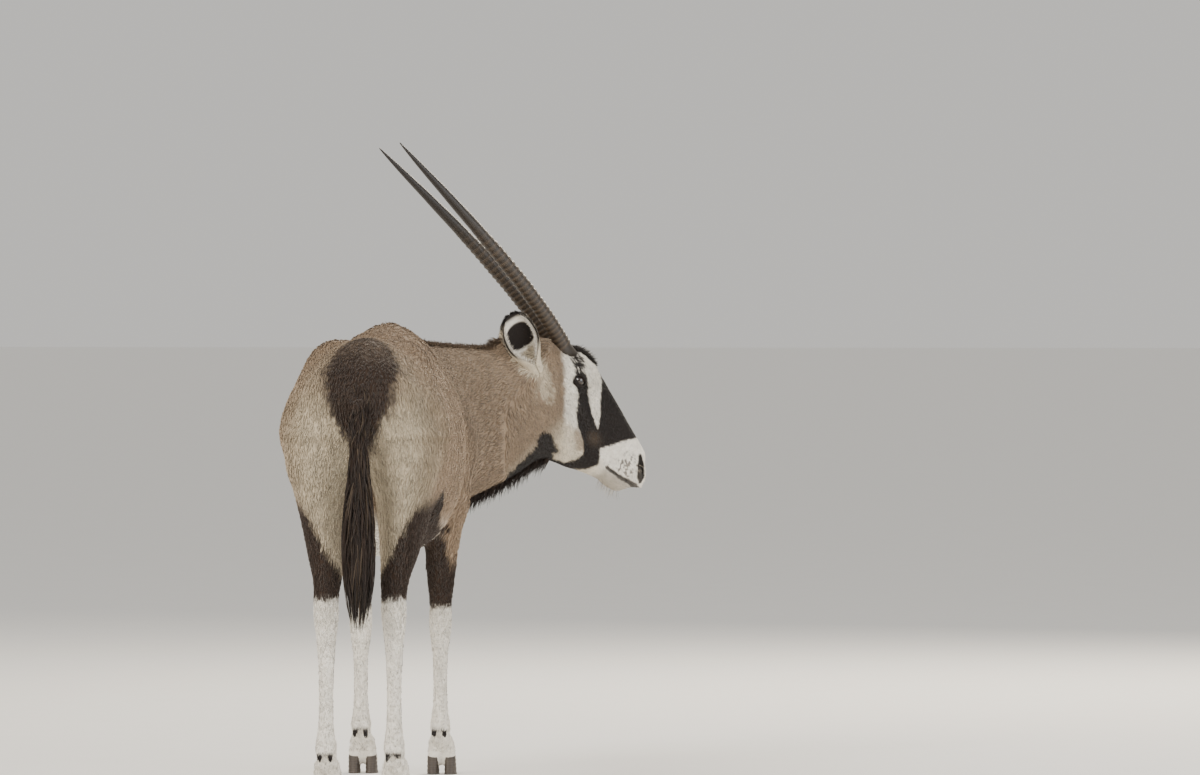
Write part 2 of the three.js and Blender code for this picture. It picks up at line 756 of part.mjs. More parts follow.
// Ears: a leaf-shaped cup on a short round root, open outwards and back
// (share of the length, half width, half depth)
const earRows = [
  [-0.16, 20, 18],
  [0, 24, 20],
  [0.12, 29, 22],
  [0.27, 41, 25],
  [0.42, 48, 25],
  [0.58, 50, 23],
  [0.74, 46, 18],
  [0.86, 37, 12],
  [0.95, 24, 8],
  [1, 11, 4],
];

function earFrame(sign) {
  const { ahead, height, reach, opening } = sign > 0 ? earPose.right : earPose.left;
  const root = vector(...levelPoint(ahead, sign * ear.side, height));
  const axis = vector(...levelPoint(ahead + reach[0], sign * (ear.side + reach[1]), height + reach[2]))
    .sub(root).normalize();
  const open = vector(headRight[0] * sign, headRight[1] * sign, 0).multiplyScalar(opening[0])
    .addScaledVector(vector(headAhead[0], headAhead[1], 0), opening[1]);
  open.addScaledVector(axis, -open.dot(axis)).normalize();
  return { root, axis, open, across: open.clone().cross(axis).normalize() };
}

// A loft of ellipses along the ear; each section gives share, half width, half depth and shift
function earLoft({ root, axis, open, across }, sections) {
  const sides = 14;
  const centreOf = ([share, , , shift]) => root.clone().addScaledVector(axis, share * ear.length)
    .addScaledVector(open, shift + ear.bow * share * share);
  const rings = sections.map((section) => Array.from({ length: sides }, (_, k) => {
    const turn = (k / sides) * Math.PI * 2;
    return centreOf(section).addScaledVector(across, Math.cos(turn) * section[1])
      .addScaledVector(open, Math.sin(turn) * section[2]).toArray();
  }));
  return solidOf(skinOf(rings, centreOf(sections[0]).toArray(), centreOf(sections.at(-1)).toArray()));
}

function earSolid(sign) {
  const frame = earFrame(sign);
  const outer = earLoft(frame, earRows.map(([share, wide, deep]) => [share, wide, deep, 0]));
  const hollow = spaced(0.1, 0.97, 8).map((share) => {
    const [, wide, deep] = rowAt(earRows, share);
    const wall = ear.wall * mix(1.4, 0.8, share);
    const opened = clamp((share - 0.02) / 0.3, 0.3, 1);
    const depth = deep * 1.35;
    return [share, (wide - wall) * opened, depth, depth - (deep - wall) * mix(0.4, 1, opened)];
  });
  return outer.subtract(earLoft(frame, hollow));
}

// Legs, cast from a line down the middle of each, up to the plane that parts them from the trunk
function legStations(line, count) {
  const curve = new THREE.CatmullRomCurve3(line.map((p) => vector(...p)), false, 'centripetal');
  return Array.from({ length: count }, (_, i) => {
    const t = i / (count - 1);
    const centre = curve.getPointAt(t);
    const down = curve.getTangentAt(t);
    const right = vector(1, 0, 0).addScaledVector(down, -down.x).normalize();
    const up = right.clone().cross(down).normalize();
    return { centre: centre.toArray(), right: right.toArray(), up: up.toArray() };
  });
}

function legSolid(name, { line }, sign, step) {
  const kind = name.split('_')[0];
  const place = ([x, y, z]) => [sign * x, y + leanAt(step, z), z];
  const field = (p) => (p[2] > 560 ? bodyField(p) : legFields[name](p));
  const { point, normal } = legCuts[kind](sign);
  return solidOf(castSkin(field, legStations(line.map(place), 28), 16, 260))
    .intersect(halfSpace(point, normal, -touchGap / 2))
    .intersect(halfSpace([0, 0, 0], [sign, 0, 0], -touchGap / 2))
    .subtract(halfSpace(neckCut.point, neckCut.normal, touchGap / 2));
}

// One claw of a hoof, drawn with its heel at y = 0 and its sole on z = 0
function clawSolid(x, y, side) {
  const rows = [[0, 0.5], [0.16, 0.88], [0.42, 1], [0.68, 0.86], [0.88, 0.52], [1, 0.14]];
  const layers = [
    { z: 0, grow: 1, from: 0, to: 1 },
    { z: 14, grow: 0.99, from: 0.01, to: 0.965 },
    { z: 90, grow: 0.86, from: 0.09, to: 0.52 },
  ];
  const rings = layers.map(({ z, grow, from, to }) => {
    const half = (claw.width / 2) * grow;
    const long = (share) => mix(from, to, share) * claw.length;
    const outer = rows.map(([share, wide]) => [x + side * half * wide, y + long(share), z]);
    const inner = [...rows].reverse().map(([share, wide]) => [x - side * half * wide * 0.82, y + long(share), z]);
    return [...outer, ...inner];
  });
  const middle = (z) => [x, y + claw.length * 0.35, z];
  const top = [0, claw.length * 0.3 + y, 0];
  const slope = (coronet.toe - coronet.heel) / coronet.reach;
  const block = solidOf(skinOf(rings, middle(0), middle(90)));
  return block.subtract(halfSpace([x, top[1], mix(coronet.heel, coronet.toe, 0.5)], [0, -slope, 1]));
}

// Tail: a dock with flesh inside, and the long hair below it as one smooth form
const dockField = (p) => joined(p, [
  rod([0, -30, 960], [0, -40, 880], [25, 20]),
  rod([0, -40, 880], [0, -42, 800], [20, 17]),
], 20, rodDistance(p, rod([0, tail.rootY + 20, tail.rootZ], [0, -30, 960], [34, 25])));

function dockSolid() {
  const stations = spaced(tail.rootZ + 20, 815, 12).map((z) => ({
    centre: [0, z > 960 ? mix(-30, tail.rootY + 20, (z - 960) / (tail.rootZ - 960)) : -38, z],
    right: [1, 0, 0],
    up: [0, 1, 0],
  }));
  return solidOf(castSkin(dockField, stations, 14, 90));
}

// The core of the tail's hair (height, half width, half depth), under locks that swing out and hang
const switchCore = [
  [tail.dockEnd - touchGap, 21, 19], [800, 19, 17], [740, 18, 15], [680, 16, 13], [625, 9, 8],
];

function switchSolid() {
  const sides = 12;
  const random = seeded(11);
  const onAxis = (z) => vector(0, tail.middle, z);
  const rings = switchCore.map(([z, wide, deep]) => Array.from({ length: sides }, (_, k) => {
    const turn = (k / sides) * Math.PI * 2;
    return [wide * Math.cos(turn), tail.middle + deep * Math.sin(turn), z];
  }));
  const core = skinOf(rings, onAxis(switchCore[0][0]).toArray(), onAxis(switchCore.at(-1)[0] - 12).toArray());
  const locks = switchTiers.flatMap(({ rootZ, tipZ, count, swing, tip }, tier) =>
    Array.from({ length: count }, (_, k) => {
      const turn = ((k + tier * 0.5) / count) * Math.PI * 2;
      const out = vector(Math.cos(turn), Math.sin(turn) * 0.85, 0);
      const at = (z, radius) => onAxis(z).addScaledVector(out, radius);
      const end = tipZ + mix(-12, 26, random());
      const path = [at(rootZ, switchLock.root), at(mix(rootZ, end, 0.42), swing * mix(0.9, 1.08, random())),
        at(end, tip)];
      return lockSolid(path, out, switchLock.wide, switchLock.thick);
    }));
  return union([solidOf(core), ...locks]);
}

// Everything placed in one group
const animal = new THREE.Group();

function add(name, solid, colour, roughness = 0.85) {
  const geometry = largestOf(solid);
  const mesh = new THREE.Mesh(geometry, new THREE.MeshStandardMaterial({ color: colour, roughness, metalness: 0 }));
  mesh.name = name;
  animal.add(mesh);
}

const torso = torsoSolid(0);
const torsoClear = torsoSolid(touchGap);
const headClear = headCore(touchGap).add(neckSolid(touchGap));

add('torso', torso, colours.coat);
add('neck', neckSolid(0, [...neckLocks(mane, 1, 5), ...neckLocks(fringe, -1, 7)]), colours.coat);
add('head', headSolid(), colours.white);

const sides = [['right', 1], ['left', -1]];
for (const [side, sign] of sides) {
  add(`ear_${side}`, earSolid(sign).subtract(headClear), colours.coat);
  add(`eye_${side}`, eyeball(sign, eye.radius, 12), colours.eye, 0.15);
  add(`horn_${side}`, hornSolid(sign).subtract(headClear), colours.horn, 0.5);
}

for (const [kind, leg, steps] of [
  ['foreleg', foreLeg, [stance.foreRight, stance.foreLeft]],
  ['hindleg', hindLeg, [stance.hindRight, stance.hindLeft]],
]) {
  sides.forEach(([side, sign], i) => {
    const step = steps[i];
    const [x, y] = leg.foot;
    const heel = y + leanAt(step, coronet.heel) + claw.heel;
    const slope = (coronet.toe - coronet.heel) / coronet.reach;
    const cut = [0, heel + claw.length * 0.3, mix(coronet.heel, coronet.toe, 0.5) + touchGap];
    add(`${kind}_${side}`, legSolid(`${kind}_${side}`, leg, sign, step)
      .subtract(halfSpace(cut, [0, slope, -1])), colours.dark);
    for (const [claws, out] of [['outer', 1], ['inner', -1]]) {
      add(`hoof_${kind}_${side}_${claws}`, clawSolid(sign * (x + out * claw.spread), heel, sign * out),
        colours.hoof, 0.5);
    }
  });
}

add('tail_dock', dockSolid().subtract(torsoClear)
  .subtract(halfSpace([0, 0, tail.dockEnd], [0, 0, -1])), colours.dark);
add('tail_switch', switchSolid(), colours.dark);

// The origin is the middle of the outline on the ground
const bounds = new THREE.Box3().setFromObject(animal);
const middle = bounds.getCenter(vector(0, 0, 0));
animal.position.set(-middle.x, -middle.y, -bounds.min.z);
animal.updateMatrixWorld(true);

export default animal;
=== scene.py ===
"""A life-size gemsbok that stands with its back to the viewer and looks over its right side."""
import logging
import math
from dataclasses import dataclass, field
from enum import Enum

import bmesh
import bpy
import numpy as np
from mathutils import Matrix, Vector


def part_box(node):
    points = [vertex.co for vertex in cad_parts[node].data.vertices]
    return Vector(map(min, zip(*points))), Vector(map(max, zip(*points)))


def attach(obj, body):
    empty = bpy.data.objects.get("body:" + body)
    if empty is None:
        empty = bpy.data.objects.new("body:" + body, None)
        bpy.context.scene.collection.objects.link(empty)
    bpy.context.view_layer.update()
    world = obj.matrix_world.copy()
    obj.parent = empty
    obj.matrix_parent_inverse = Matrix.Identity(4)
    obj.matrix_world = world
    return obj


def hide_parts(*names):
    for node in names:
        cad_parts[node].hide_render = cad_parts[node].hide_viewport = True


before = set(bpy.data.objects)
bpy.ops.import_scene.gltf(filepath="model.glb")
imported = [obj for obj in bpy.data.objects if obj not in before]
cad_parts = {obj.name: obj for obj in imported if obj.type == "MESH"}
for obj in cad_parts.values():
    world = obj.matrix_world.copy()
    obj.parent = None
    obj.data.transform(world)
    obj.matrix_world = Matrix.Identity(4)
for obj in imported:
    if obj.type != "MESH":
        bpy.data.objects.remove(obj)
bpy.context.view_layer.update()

import openvdb as vdb
from mathutils import Matrix, Vector

LOG = logging.getLogger("gemsbok")
MM = 0.001
MAP_RIM = 0.004
MAP_PATCH = 0.003
TETRA = np.array([[1, -1, -1], [-1, -1, 1], [-1, 1, -1], [1, 1, 1]], dtype=float)
Rows = tuple[tuple[float, ...], ...]
Place = tuple[float, float, float]
Array, Piece, Material = np.ndarray, bpy.types.Object, bpy.types.Material


# Plain arithmetic on arrays of places, in millimetres

def unit(vectors: Array) -> Array:
    """Scales each vector to length one."""
    return vectors / np.maximum(np.linalg.norm(vectors, axis=-1, keepdims=True), 1e-9)


def step(low: float, high: float, value: Array) -> Array:
    """Rises smoothly from 0 at low to 1 at high."""
    t = np.clip((value - low) / (high - low), 0.0, 1.0)
    return t * t * (3.0 - 2.0 * t)


def columns(*parts: Array) -> Array:
    """Puts arrays side by side, one column each."""
    return np.stack(parts, axis=1)


def on_map(place: Array) -> Array:
    """Spreads places over the bake map, from 0 to 1 with a narrow rim."""
    low, high = place.min(axis=0), place.max(axis=0)
    return MAP_RIM + (1 - 2 * MAP_RIM) * (place - low) / np.maximum(high - low, 1e-6)


def merge(a: Array, b: Array, width: float) -> Array:
    """Joins two distances with a soft fillet.

    Args:
        a: Distances to the first shape.
        b: Distances to the second shape.
        width: How far apart the two still pull on each other.

    Returns:
        Distances to the joined shape.
    """
    near = np.maximum(width - np.abs(a - b), 0.0) / width
    return np.minimum(a, b) - near * near * width * 0.25


def carve(a: Array, b: Array, width: float) -> Array:
    """Takes shape b out of shape a, with its rim rounded over width."""
    return -merge(-a, b, width)


def hash_noise(points: Array, size: float, seed: int) -> Array:
    """Smooth repeatable noise.

    Args:
        points: Places to read, one row each.
        size: Distance between the noise's own grid places.
        seed: Chooses one of many such noises.

    Returns:
        Values from -1 to 1.
    """
    cell = np.floor(points / size).astype(np.int64)
    part = points / size - cell
    part = part * part * (3.0 - 2.0 * part)
    total = np.zeros(len(points))
    for corner in range(8):
        bits = np.array([corner & 1, corner >> 1 & 1, corner >> 2 & 1])
        key = (cell + bits) @ np.array([374761393, 668265263, 2147483647]) + seed * 1274126177
        key = (key ^ (key >> 13)) * 1274126177 & 0xFFFFFFFF
        value = ((key ^ (key >> 16)) & 0xFFFF) / 32767.5 - 1.0
        weight = np.prod(np.where(bits == 1, part, 1.0 - part), axis=1)
        total += value * weight
    return total


def line_gap(a: Array, b: Array, line: Rows) -> Array:
    """Distance in a plane to a chain of straight stretches that carries a width.

    Args:
        a: First coordinate of each place.
        b: Second coordinate of each place.
        line: Rows of first coordinate, second coordinate and half width.

    Returns:
        The distance past the line's half width, negative inside.
    """
    best = np.full(len(a), 1e9)
    for (a0, b0, w0), (a1, b1, w1) in zip(line, line[1:]):
        da, db = a1 - a0, b1 - b0
        t = np.clip(((a - a0) * da + (b - b0) * db) / (da * da + db * db), 0.0, 1.0)
        best = np.minimum(best, np.hypot(a - a0 - t * da, b - b0 - t * db) - (w0 + (w1 - w0) * t))
    return best


class Table:
    """Rows of sizes along a line, read with smooth steps between the rows."""

    def __init__(self, rows: Rows) -> None:
        """Keeps the rows; the first column is the place along the line."""
        self.rows = np.array(rows, dtype=float)

    def at(self, place: Array) -> Array:
        """Reads the table.

        Args:
            place: Places along the line.

        Returns:
            One row of sizes for each place.
        """
        rows = self.rows
        last = len(rows) - 1
        inside = np.clip(place, rows[0, 0], rows[last, 0])
        i = np.clip(np.searchsorted(rows[:, 0], inside, side="left") - 1, 0, last - 1)
        before, start = rows[np.maximum(i - 1, 0)], rows[i]
        end, after = rows[i + 1], rows[np.minimum(i + 2, last)]
        span = end[:, :1] - start[:, :1]
        t = (inside[:, None] - start[:, :1]) / span
        rise = (end - before) / (end[:, :1] - before[:, :1]) * span
        fall = (after - start) / (after[:, :1] - start[:, :1]) * span
        t2, t3 = t * t, t * t * t
        return (
            (2 * t3 - 3 * t2 + 1) * start + (t3 - 2 * t2 + t) * rise
            + (3 * t2 - 2 * t3) * end + (t3 - t2) * fall
        )


def section_gap(section: Array, up: Array, side: Array) -> Array:
    """Distance to an egg-shaped section in its own plane.

    Args:
        section: Rows of place, top, bottom, half width and height of the widest line.
        up: Height of each place.
        side: Sideways distance of each place.

    Returns:
        Distances, negative inside.
    """
    top, bottom, half, widest = section[:, 1], section[:, 2], section[:, 3], section[:, 4]
    rise = np.where(up > widest, top - widest, widest - bottom)
    reach = np.hypot(side, up - widest) + 1e-6
    ratio = np.hypot(side / half, (up - widest) / rise) + 1e-6
    return reach - reach / ratio


def past_end(radial: Array, past: Array) -> Array:
    """Rounds a section's distance off where a place lies past the end of its table."""
    return np.where(past > 0, np.hypot(np.maximum(radial, 0), past) + np.minimum(radial, 0), radial)


@dataclass(frozen=True)
class Rod:
    """A muscle or bone as a tapered rod with round ends."""

    start: Place
    end: Place
    radii: tuple[float, float]
    thin: float = 1.0

    def gap(self, p: Array) -> Array:
        """Distance of places to the rod."""
        a = np.array(self.start)
        line = np.array(self.end) - a
        length = float(line @ line)
        t = np.clip((p - a) @ line / length, 0.0, 1.0) if length > 0 else np.zeros(len(p))
        off = p - a - t[:, None] * line
        radius = self.radii[0] + (self.radii[1] - self.radii[0]) * t
        off[:, 0] /= self.thin
        return (np.linalg.norm(off, axis=1) - radius) * min(self.thin, 1.0)

    def mirrored(self) -> "Rod":
        """The same rod on the other side."""
        flip = np.array([-1.0, 1.0, 1.0])
        return Rod(tuple(flip * self.start), tuple(flip * self.end), self.radii, self.thin)


def both(rods: list[Rod]) -> list[Rod]:
    """Each rod and its mirror image."""
    return [each for rod in rods for each in (rod, rod.mirrored())]


class Side(Enum):
    """The animal's own right and left."""

    RIGHT = 1
    LEFT = -1

    @property
    def word(self) -> str:
        """The side's name in lower case."""
        return self.name.lower()


@dataclass(frozen=True)
class Leg:
    """One pair of legs, from profile tables of height, back, front, half width and distance out."""

    foot: tuple[float, float]
    rows: Rows
    steps: dict[Side, float]


@dataclass
class Anatomy:
    """The animal's form as distances to its surface, in millimetres with +Y ahead and +X its right."""

    trunk_rows: Rows = (
        (-22, 1008, 935, 38, 975), (30, 1070, 880, 100, 965), (120, 1116, 850, 146, 960),
        (230, 1138, 795, 170, 940), (340, 1132, 735, 184, 920), (480, 1112, 648, 193, 885),
        (560, 1103, 610, 196, 870), (650, 1097, 588, 198, 860), (820, 1098, 574, 199, 850),
        (960, 1118, 573, 190, 840), (1080, 1146, 582, 168, 830), (1170, 1152, 602, 146, 825),
        (1260, 1112, 645, 124, 830), (1340, 1030, 705, 96, 850), (1400, 930, 790, 48, 860),
    )
    neck_plan: Rows = ((0, 1180), (60, 1464), (344, 1590))
    neck_rows: Rows = (
        (0, 1138, 625, 128, 850), (0.25, 1114, 650, 110, 860), (0.5, 1102, 690, 95, 880),
        (0.75, 1097, 735, 82, 905), (0.9, 1097, 778, 76, 930), (1, 1101, 822, 72, 960),
    )
    head_place: tuple[float, float] = (408, 1623)
    head_turn: float = math.radians(63)
    head_pitch: float = math.radians(45.6)
    head_back: tuple[float, float] = (-70, 1020)
    head_rows: Rows = (
        (-120, 10, -90, 48, -25), (-75, 64, -110, 56, 0), (-30, 94, -132, 62, 20),
        (15, 115, -145, 66, 35), (60, 119, -150, 66, 40), (105, 107, -151, 60, 35),
        (150, 97, -146, 53, 25), (200, 87, -130, 46, 15), (245, 75, -104, 41, 5),
        (285, 65, -82, 38, -2), (320, 56, -70, 38, -8), (350, 41, -58, 38, -12),
        (370, 24, -40, 33, -10), (384, 3, -24, 20, -10),
    )
    stance_top: float = 720
    hind: Leg = Leg(
        (83, 94),
        (
            (88, 84, 146, 24, 83), (112, 72, 128, 26, 83), (135, 66, 118, 28, 83), (165, 66, 112, 23, 83),
            (210, 68, 109, 19.5, 83), (300, 68, 110, 20, 83), (380, 64, 113, 24, 83), (425, 54, 117, 29, 83),
            (460, 42, 121, 32, 83), (490, 34, 124, 32, 83), (515, 36, 142, 33, 83), (550, 46, 185, 37, 84),
            (600, 52, 265, 47, 89), (650, 46, 350, 56, 93), (700, 34, 415, 66, 96), (760, 22, 440, 78, 99),
            (830, 14, 420, 90, 100), (900, 10, 380, 96, 98),
        ),
        {Side.RIGHT: 0, Side.LEFT: -34},
    )
    fore: Leg = Leg(
        (104, 1176),
        (
            (88, 1166, 1226, 24, 104), (112, 1156, 1208, 26, 104), (135, 1150, 1200, 27, 104),
            (165, 1152, 1196, 22, 104), (220, 1154, 1196, 19, 104), (310, 1152, 1199, 21, 104),
            (345, 1150, 1206, 26, 104), (385, 1152, 1214, 30, 104), (415, 1150, 1212, 30, 104),
            (450, 1144, 1210, 30, 105), (510, 1132, 1218, 37, 106), (570, 1114, 1228, 43, 108),
            (630, 1096, 1242, 50, 112), (690, 1084, 1268, 58, 112), (750, 1080, 1300, 60, 108),
            (820, 1090, 1330, 56, 100),
        ),
        {Side.RIGHT: 0, Side.LEFT: 42},
    )
    aside: float = 30
    eye: Place = (64, 53, 41)
    mouth: Rows = ((281, -52), (300, -49), (322, -44), (345, -37), (362, -31), (392, -24))
    eye_radius: float = 18.5
    trunk_rods: list[Rod] = field(default_factory=lambda: both([
        Rod((96, 300, 1035), (108, 205, 930), (66, 92)),
        Rod((102, 240, 900), (110, 350, 790), (96, 80)),
        Rod((74, 75, 985), (98, 104, 830), (62, 80)),
        Rod((108, 352, 1078), (90, 300, 1085), (30, 34)),
        Rod((118, 400, 790), (122, 540, 715), (50, 28)),
        Rod((66, 1110, 1070), (112, 1270, 840), (56, 62), 0.8),
        Rod((112, 1280, 820), (112, 1180, 715), (60, 52)),
        Rod((96, 1115, 880), (110, 1140, 725), (76, 52)),
        Rod((40, 1320, 810), (34, 1230, 675), (76, 46)),
    ]))
    head_rods: list[Rod] = field(default_factory=lambda: both([
        Rod((50, 53, 42), (50, 53, 42), (29, 29)),
        Rod((42, 30, 74), (40, 84, 66), (21, 19)),
        Rod((34, 60, -58), (28, 150, -52), (36, 27)),
        Rod((56, 70, 8), (33, 200, -6), (15, 11)),
        Rod((24, 55, -112), (16, 300, -56), (28, 16)),
        Rod((18, 345, 4), (14, 366, 0), (24, 19)),
        Rod((8, 326, -50), (6, 340, -49), (19, 16)),
        Rod((10, 70, 92), (8, 330, 42), (18, 14)),
        Rod((42, -96, 20), (50, -70, 40), (22, 20)),
    ]))

    def __post_init__(self) -> None:
        """Readies the tables and the head's directions."""
        self.trunk_table = Table(self.trunk_rows)
        self.neck_table = Table(self.neck_rows)
        self.head_table = Table(self.head_rows)
        self.leg_tables = {id(leg): Table(leg.rows) for leg in (self.hind, self.fore)}
        turn, pitch = self.head_turn, self.head_pitch
        ahead = np.array([math.sin(turn), math.cos(turn), 0.0])
        level = np.array([0.0, 0.0, 1.0])
        self.head_ahead = ahead
        self.head_right = np.array([math.cos(turn), -math.sin(turn), 0.0])
        self.head_along = ahead * math.cos(pitch) - level * math.sin(pitch)
        self.head_up = ahead * math.sin(pitch) + level * math.cos(pitch)
        self.head_ground = np.array([*self.head_place, 0.0])
        self.head_origin = self.head_ground + ahead * self.head_back[0] + level * self.head_back[1]
        eye = np.array([list(corner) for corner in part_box("eye_right")]).mean(axis=0) / MM
        self.shift = eye - self.head_point(np.array([self.eye]))[0]

    def to_scene(self, points: Array) -> Array:
        """Turns the animal's millimetres into the scene's metres."""
        return (points + self.shift) * MM

    def head_point(self, local: Array) -> Array:
        """Places of side, along and up in the head's own frame."""
        return (
            self.head_origin + local[:, :1] * self.head_right
            + local[:, 1:2] * self.head_along + local[:, 2:3] * self.head_up
        )

    def head_vector(self, side: float, along: float, up: float) -> Array:
        """A direction given in the head's own frame."""
        return side * self.head_right + along * self.head_along + up * self.head_up

    def head_level_point(self, ahead: float, side: float, height: float) -> Array:
        """A place given level with the ground, from the head's middle plane."""
        return self.head_ground + ahead * self.head_ahead + side * self.head_right + [0, 0, height]

    def head_local(self, p: Array) -> Array:
        """Side, along and up of places in the head's own frame."""
        off = p - self.head_origin
        return columns(off @ self.head_right, off @ self.head_along, off @ self.head_up)

    def plan(self, t: Array) -> tuple[Array, Array]:
        """The neck's middle line from above.

        Args:
            t: Shares of the line from the withers to the head.

        Returns:
            Places and unit headings in the ground plane.
        """
        a, b, c = (np.array(point, dtype=float) for point in self.neck_plan)
        t = t[:, None]
        place = (1 - t) ** 2 * a + 2 * t * (1 - t) * b + t * t * c
        return place, unit((1 - t) * (b - a) + t * (c - b))

    def neck_share(self, p: Array) -> Array:
        """The nearest share of the neck's middle line for each place."""
        steps = np.linspace(0, 1, 25)
        places, _ = self.plan(steps)
        gaps = ((p[:, None, :2] - places[None]) ** 2).sum(axis=2)
        share = steps[np.argmin(gaps, axis=1)]
        for _ in range(4):
            place, heading = self.plan(share)
            share = np.clip(share + ((p[:, :2] - place) * heading).sum(axis=1) / 600, 0, 1)
        return share

    def neck_local(self, p: Array) -> tuple[Array, Array, Array]:
        """Share, side and distance past the ends of the neck's line for each place."""
        share = self.neck_share(p)
        place, heading = self.plan(share)
        off = p[:, :2] - place
        side = off[:, 0] * heading[:, 1] - off[:, 1] * heading[:, 0]
        return share, side, (off * heading).sum(axis=1)

    def joined(self, p: Array, rods: list[Rod], width: float, start: Array) -> Array:
        """Joins rods to a shape one after another."""
        total = start
        for rod in rods:
            total = merge(total, rod.gap(p), width)
        return total

    def leaned(self, p: Array) -> Array:
        """Places moved right by as much as the withers and crest lie left of the spine."""
        share = step(950, 1140, p[:, 2]) * step(900, 1100, p[:, 1]) * (1 - step(1240, 1420, p[:, 1]))
        return p + columns(self.aside * share, np.zeros(len(p)), np.zeros(len(p)))

    def trunk(self, p: Array) -> Array:
        """Distance to the trunk."""
        p = self.leaned(p)
        section = self.trunk_table.at(p[:, 1])
        core = past_end(section_gap(section, p[:, 2], p[:, 0]), np.abs(p[:, 1] - section[:, 0]))
        return self.joined(p, self.trunk_rods, 55, core)

    def neck(self, p: Array) -> Array:
        """Distance to the neck."""
        p = self.leaned(p)
        share, side, past = self.neck_local(p)
        section = self.neck_table.at(share)
        return past_end(section_gap(section, p[:, 2], side), np.where(np.abs(past) > 1, np.abs(past), 0))

    def lean(self, step_size: float, z: Array) -> Array:
        """How far forward a leg stands at a height."""
        return step_size * np.maximum(self.stance_top - z, 0) / self.stance_top

    def leg(self, p: Array, leg: Leg, side: Side) -> Array:
        """Distance to one leg with its toes and dewclaws."""
        x, y = leg.foot
        local = columns(side.value * p[:, 0], p[:, 1] - self.lean(leg.steps[side], p[:, 2]), p[:, 2])
        row = self.leg_tables[id(leg)].at(p[:, 2])
        section = columns(row[:, 0], row[:, 2], row[:, 1], row[:, 3], (row[:, 1] + row[:, 2]) / 2)
        shank = section_gap(section, local[:, 1], local[:, 0] - row[:, 4])
        shank = past_end(shank, np.abs(p[:, 2] - row[:, 0]))
        rods = []
        for s in (-1, 1):
            toe = Rod((x + s * 14, y + 30, 84), (x + s * 20, y + 47, 34), (19, 21))
            dewclaw = Rod((x + s * 13, y - 24, 122), (x + s * 14, y - 31, 104), (10, 8))
            rods += [toe, dewclaw]
        return self.joined(local, rods, 14, shank)

    def body(self, p: Array) -> Array:
        """Distance to the trunk, neck and legs together."""
        total = merge(self.trunk(p), self.neck(p), 90)
        for leg in (self.hind, self.fore):
            for side in Side:
                total = merge(total, self.leg(p, leg, side), 45)
        return total

    def head(self, p: Array) -> Array:
        """Distance to the head without its openings."""
        local = self.head_local(p)
        section = self.head_table.at(local[:, 1])
        core = past_end(section_gap(section, local[:, 2], local[:, 0]), np.abs(local[:, 1] - section[:, 0]))
        return self.joined(local, self.head_rods, 26, core)

    def whole(self, p: Array) -> Array:
        """Distance to the whole animal without ears, horns and openings."""
        return merge(self.body(p), self.head(p), 52)

    def openings(self, p: Array, gap: Array) -> Array:
        """Cuts the eye sockets, nostrils and mouth line into the head.

        Args:
            p: Places.
            gap: Their distances to the whole animal.

        Returns:
            Distances with the openings cut.
        """
        local = self.head_local(p)
        near = (np.abs(local[:, 0]) < 110) & (local[:, 1] > 0) & (local[:, 1] < 420) & (gap < 60)
        if not near.any():
            return gap
        spot, cut = local[near], gap[near]
        folded = columns(np.abs(spot[:, 0]), spot[:, 1], spot[:, 2])
        ball = np.linalg.norm(folded - np.array(self.eye), axis=1)
        cut = carve(cut, ball - self.eye_radius - 0.6, 3)
        slot = Rod((26, 330, 37), (32, 347, 21), (3.6, 10)).gap(folded)
        slot = merge(slot, Rod((32, 347, 21), (28, 367, -1), (10, 7.5)).gap(folded), 4)
        cut = carve(cut, slot, 4)
        line = line_gap(spot[:, 1], spot[:, 2], tuple((a, u, 1.9) for a, u in self.mouth))
        cut = carve(cut, np.maximum(line, -(cut + 5.5)), 3.2)
        philtrum = np.maximum(np.abs(spot[:, 0]) - 1.0, np.maximum(-(cut + 2.5), 352 - spot[:, 1]))
        cut = carve(cut, philtrum, 2)
        result = gap.copy()
        result[near] = cut
        return result

    def relief(self, p: Array) -> Array:
        """Small hollows and folds of skin over muscle, in millimetres inwards."""
        x, y, z = p.T
        share, side, _ = self.neck_local(p)
        on_neck = step(1200, 1330, y) * step(0.05, 0.3, share) * (1 - step(0.75, 0.98, share))
        wave = np.sin(share * 34 + z * 0.012 + hash_noise(p, 110, 5) * 2.0)
        folds = on_neck * step(20, 70, side) * (0.5 + 0.5 * wave) * 0.5
        ribs = step(520, 620, y) * (1 - step(930, 1020, y)) * step(120, 175, np.abs(x))
        ribs = ribs * (0.5 + 0.5 * np.sin(y * 0.115 + z * 0.02)) * 0.8
        muscle = hash_noise(p, 120, 9) * 2.2 * step(700, 800, z) * (1 - step(1200, 1400, y))
        return folds + ribs + muscle + hash_noise(p, 55, 8) * 0.7 * step(560, 700, z) + self.face_relief(p)

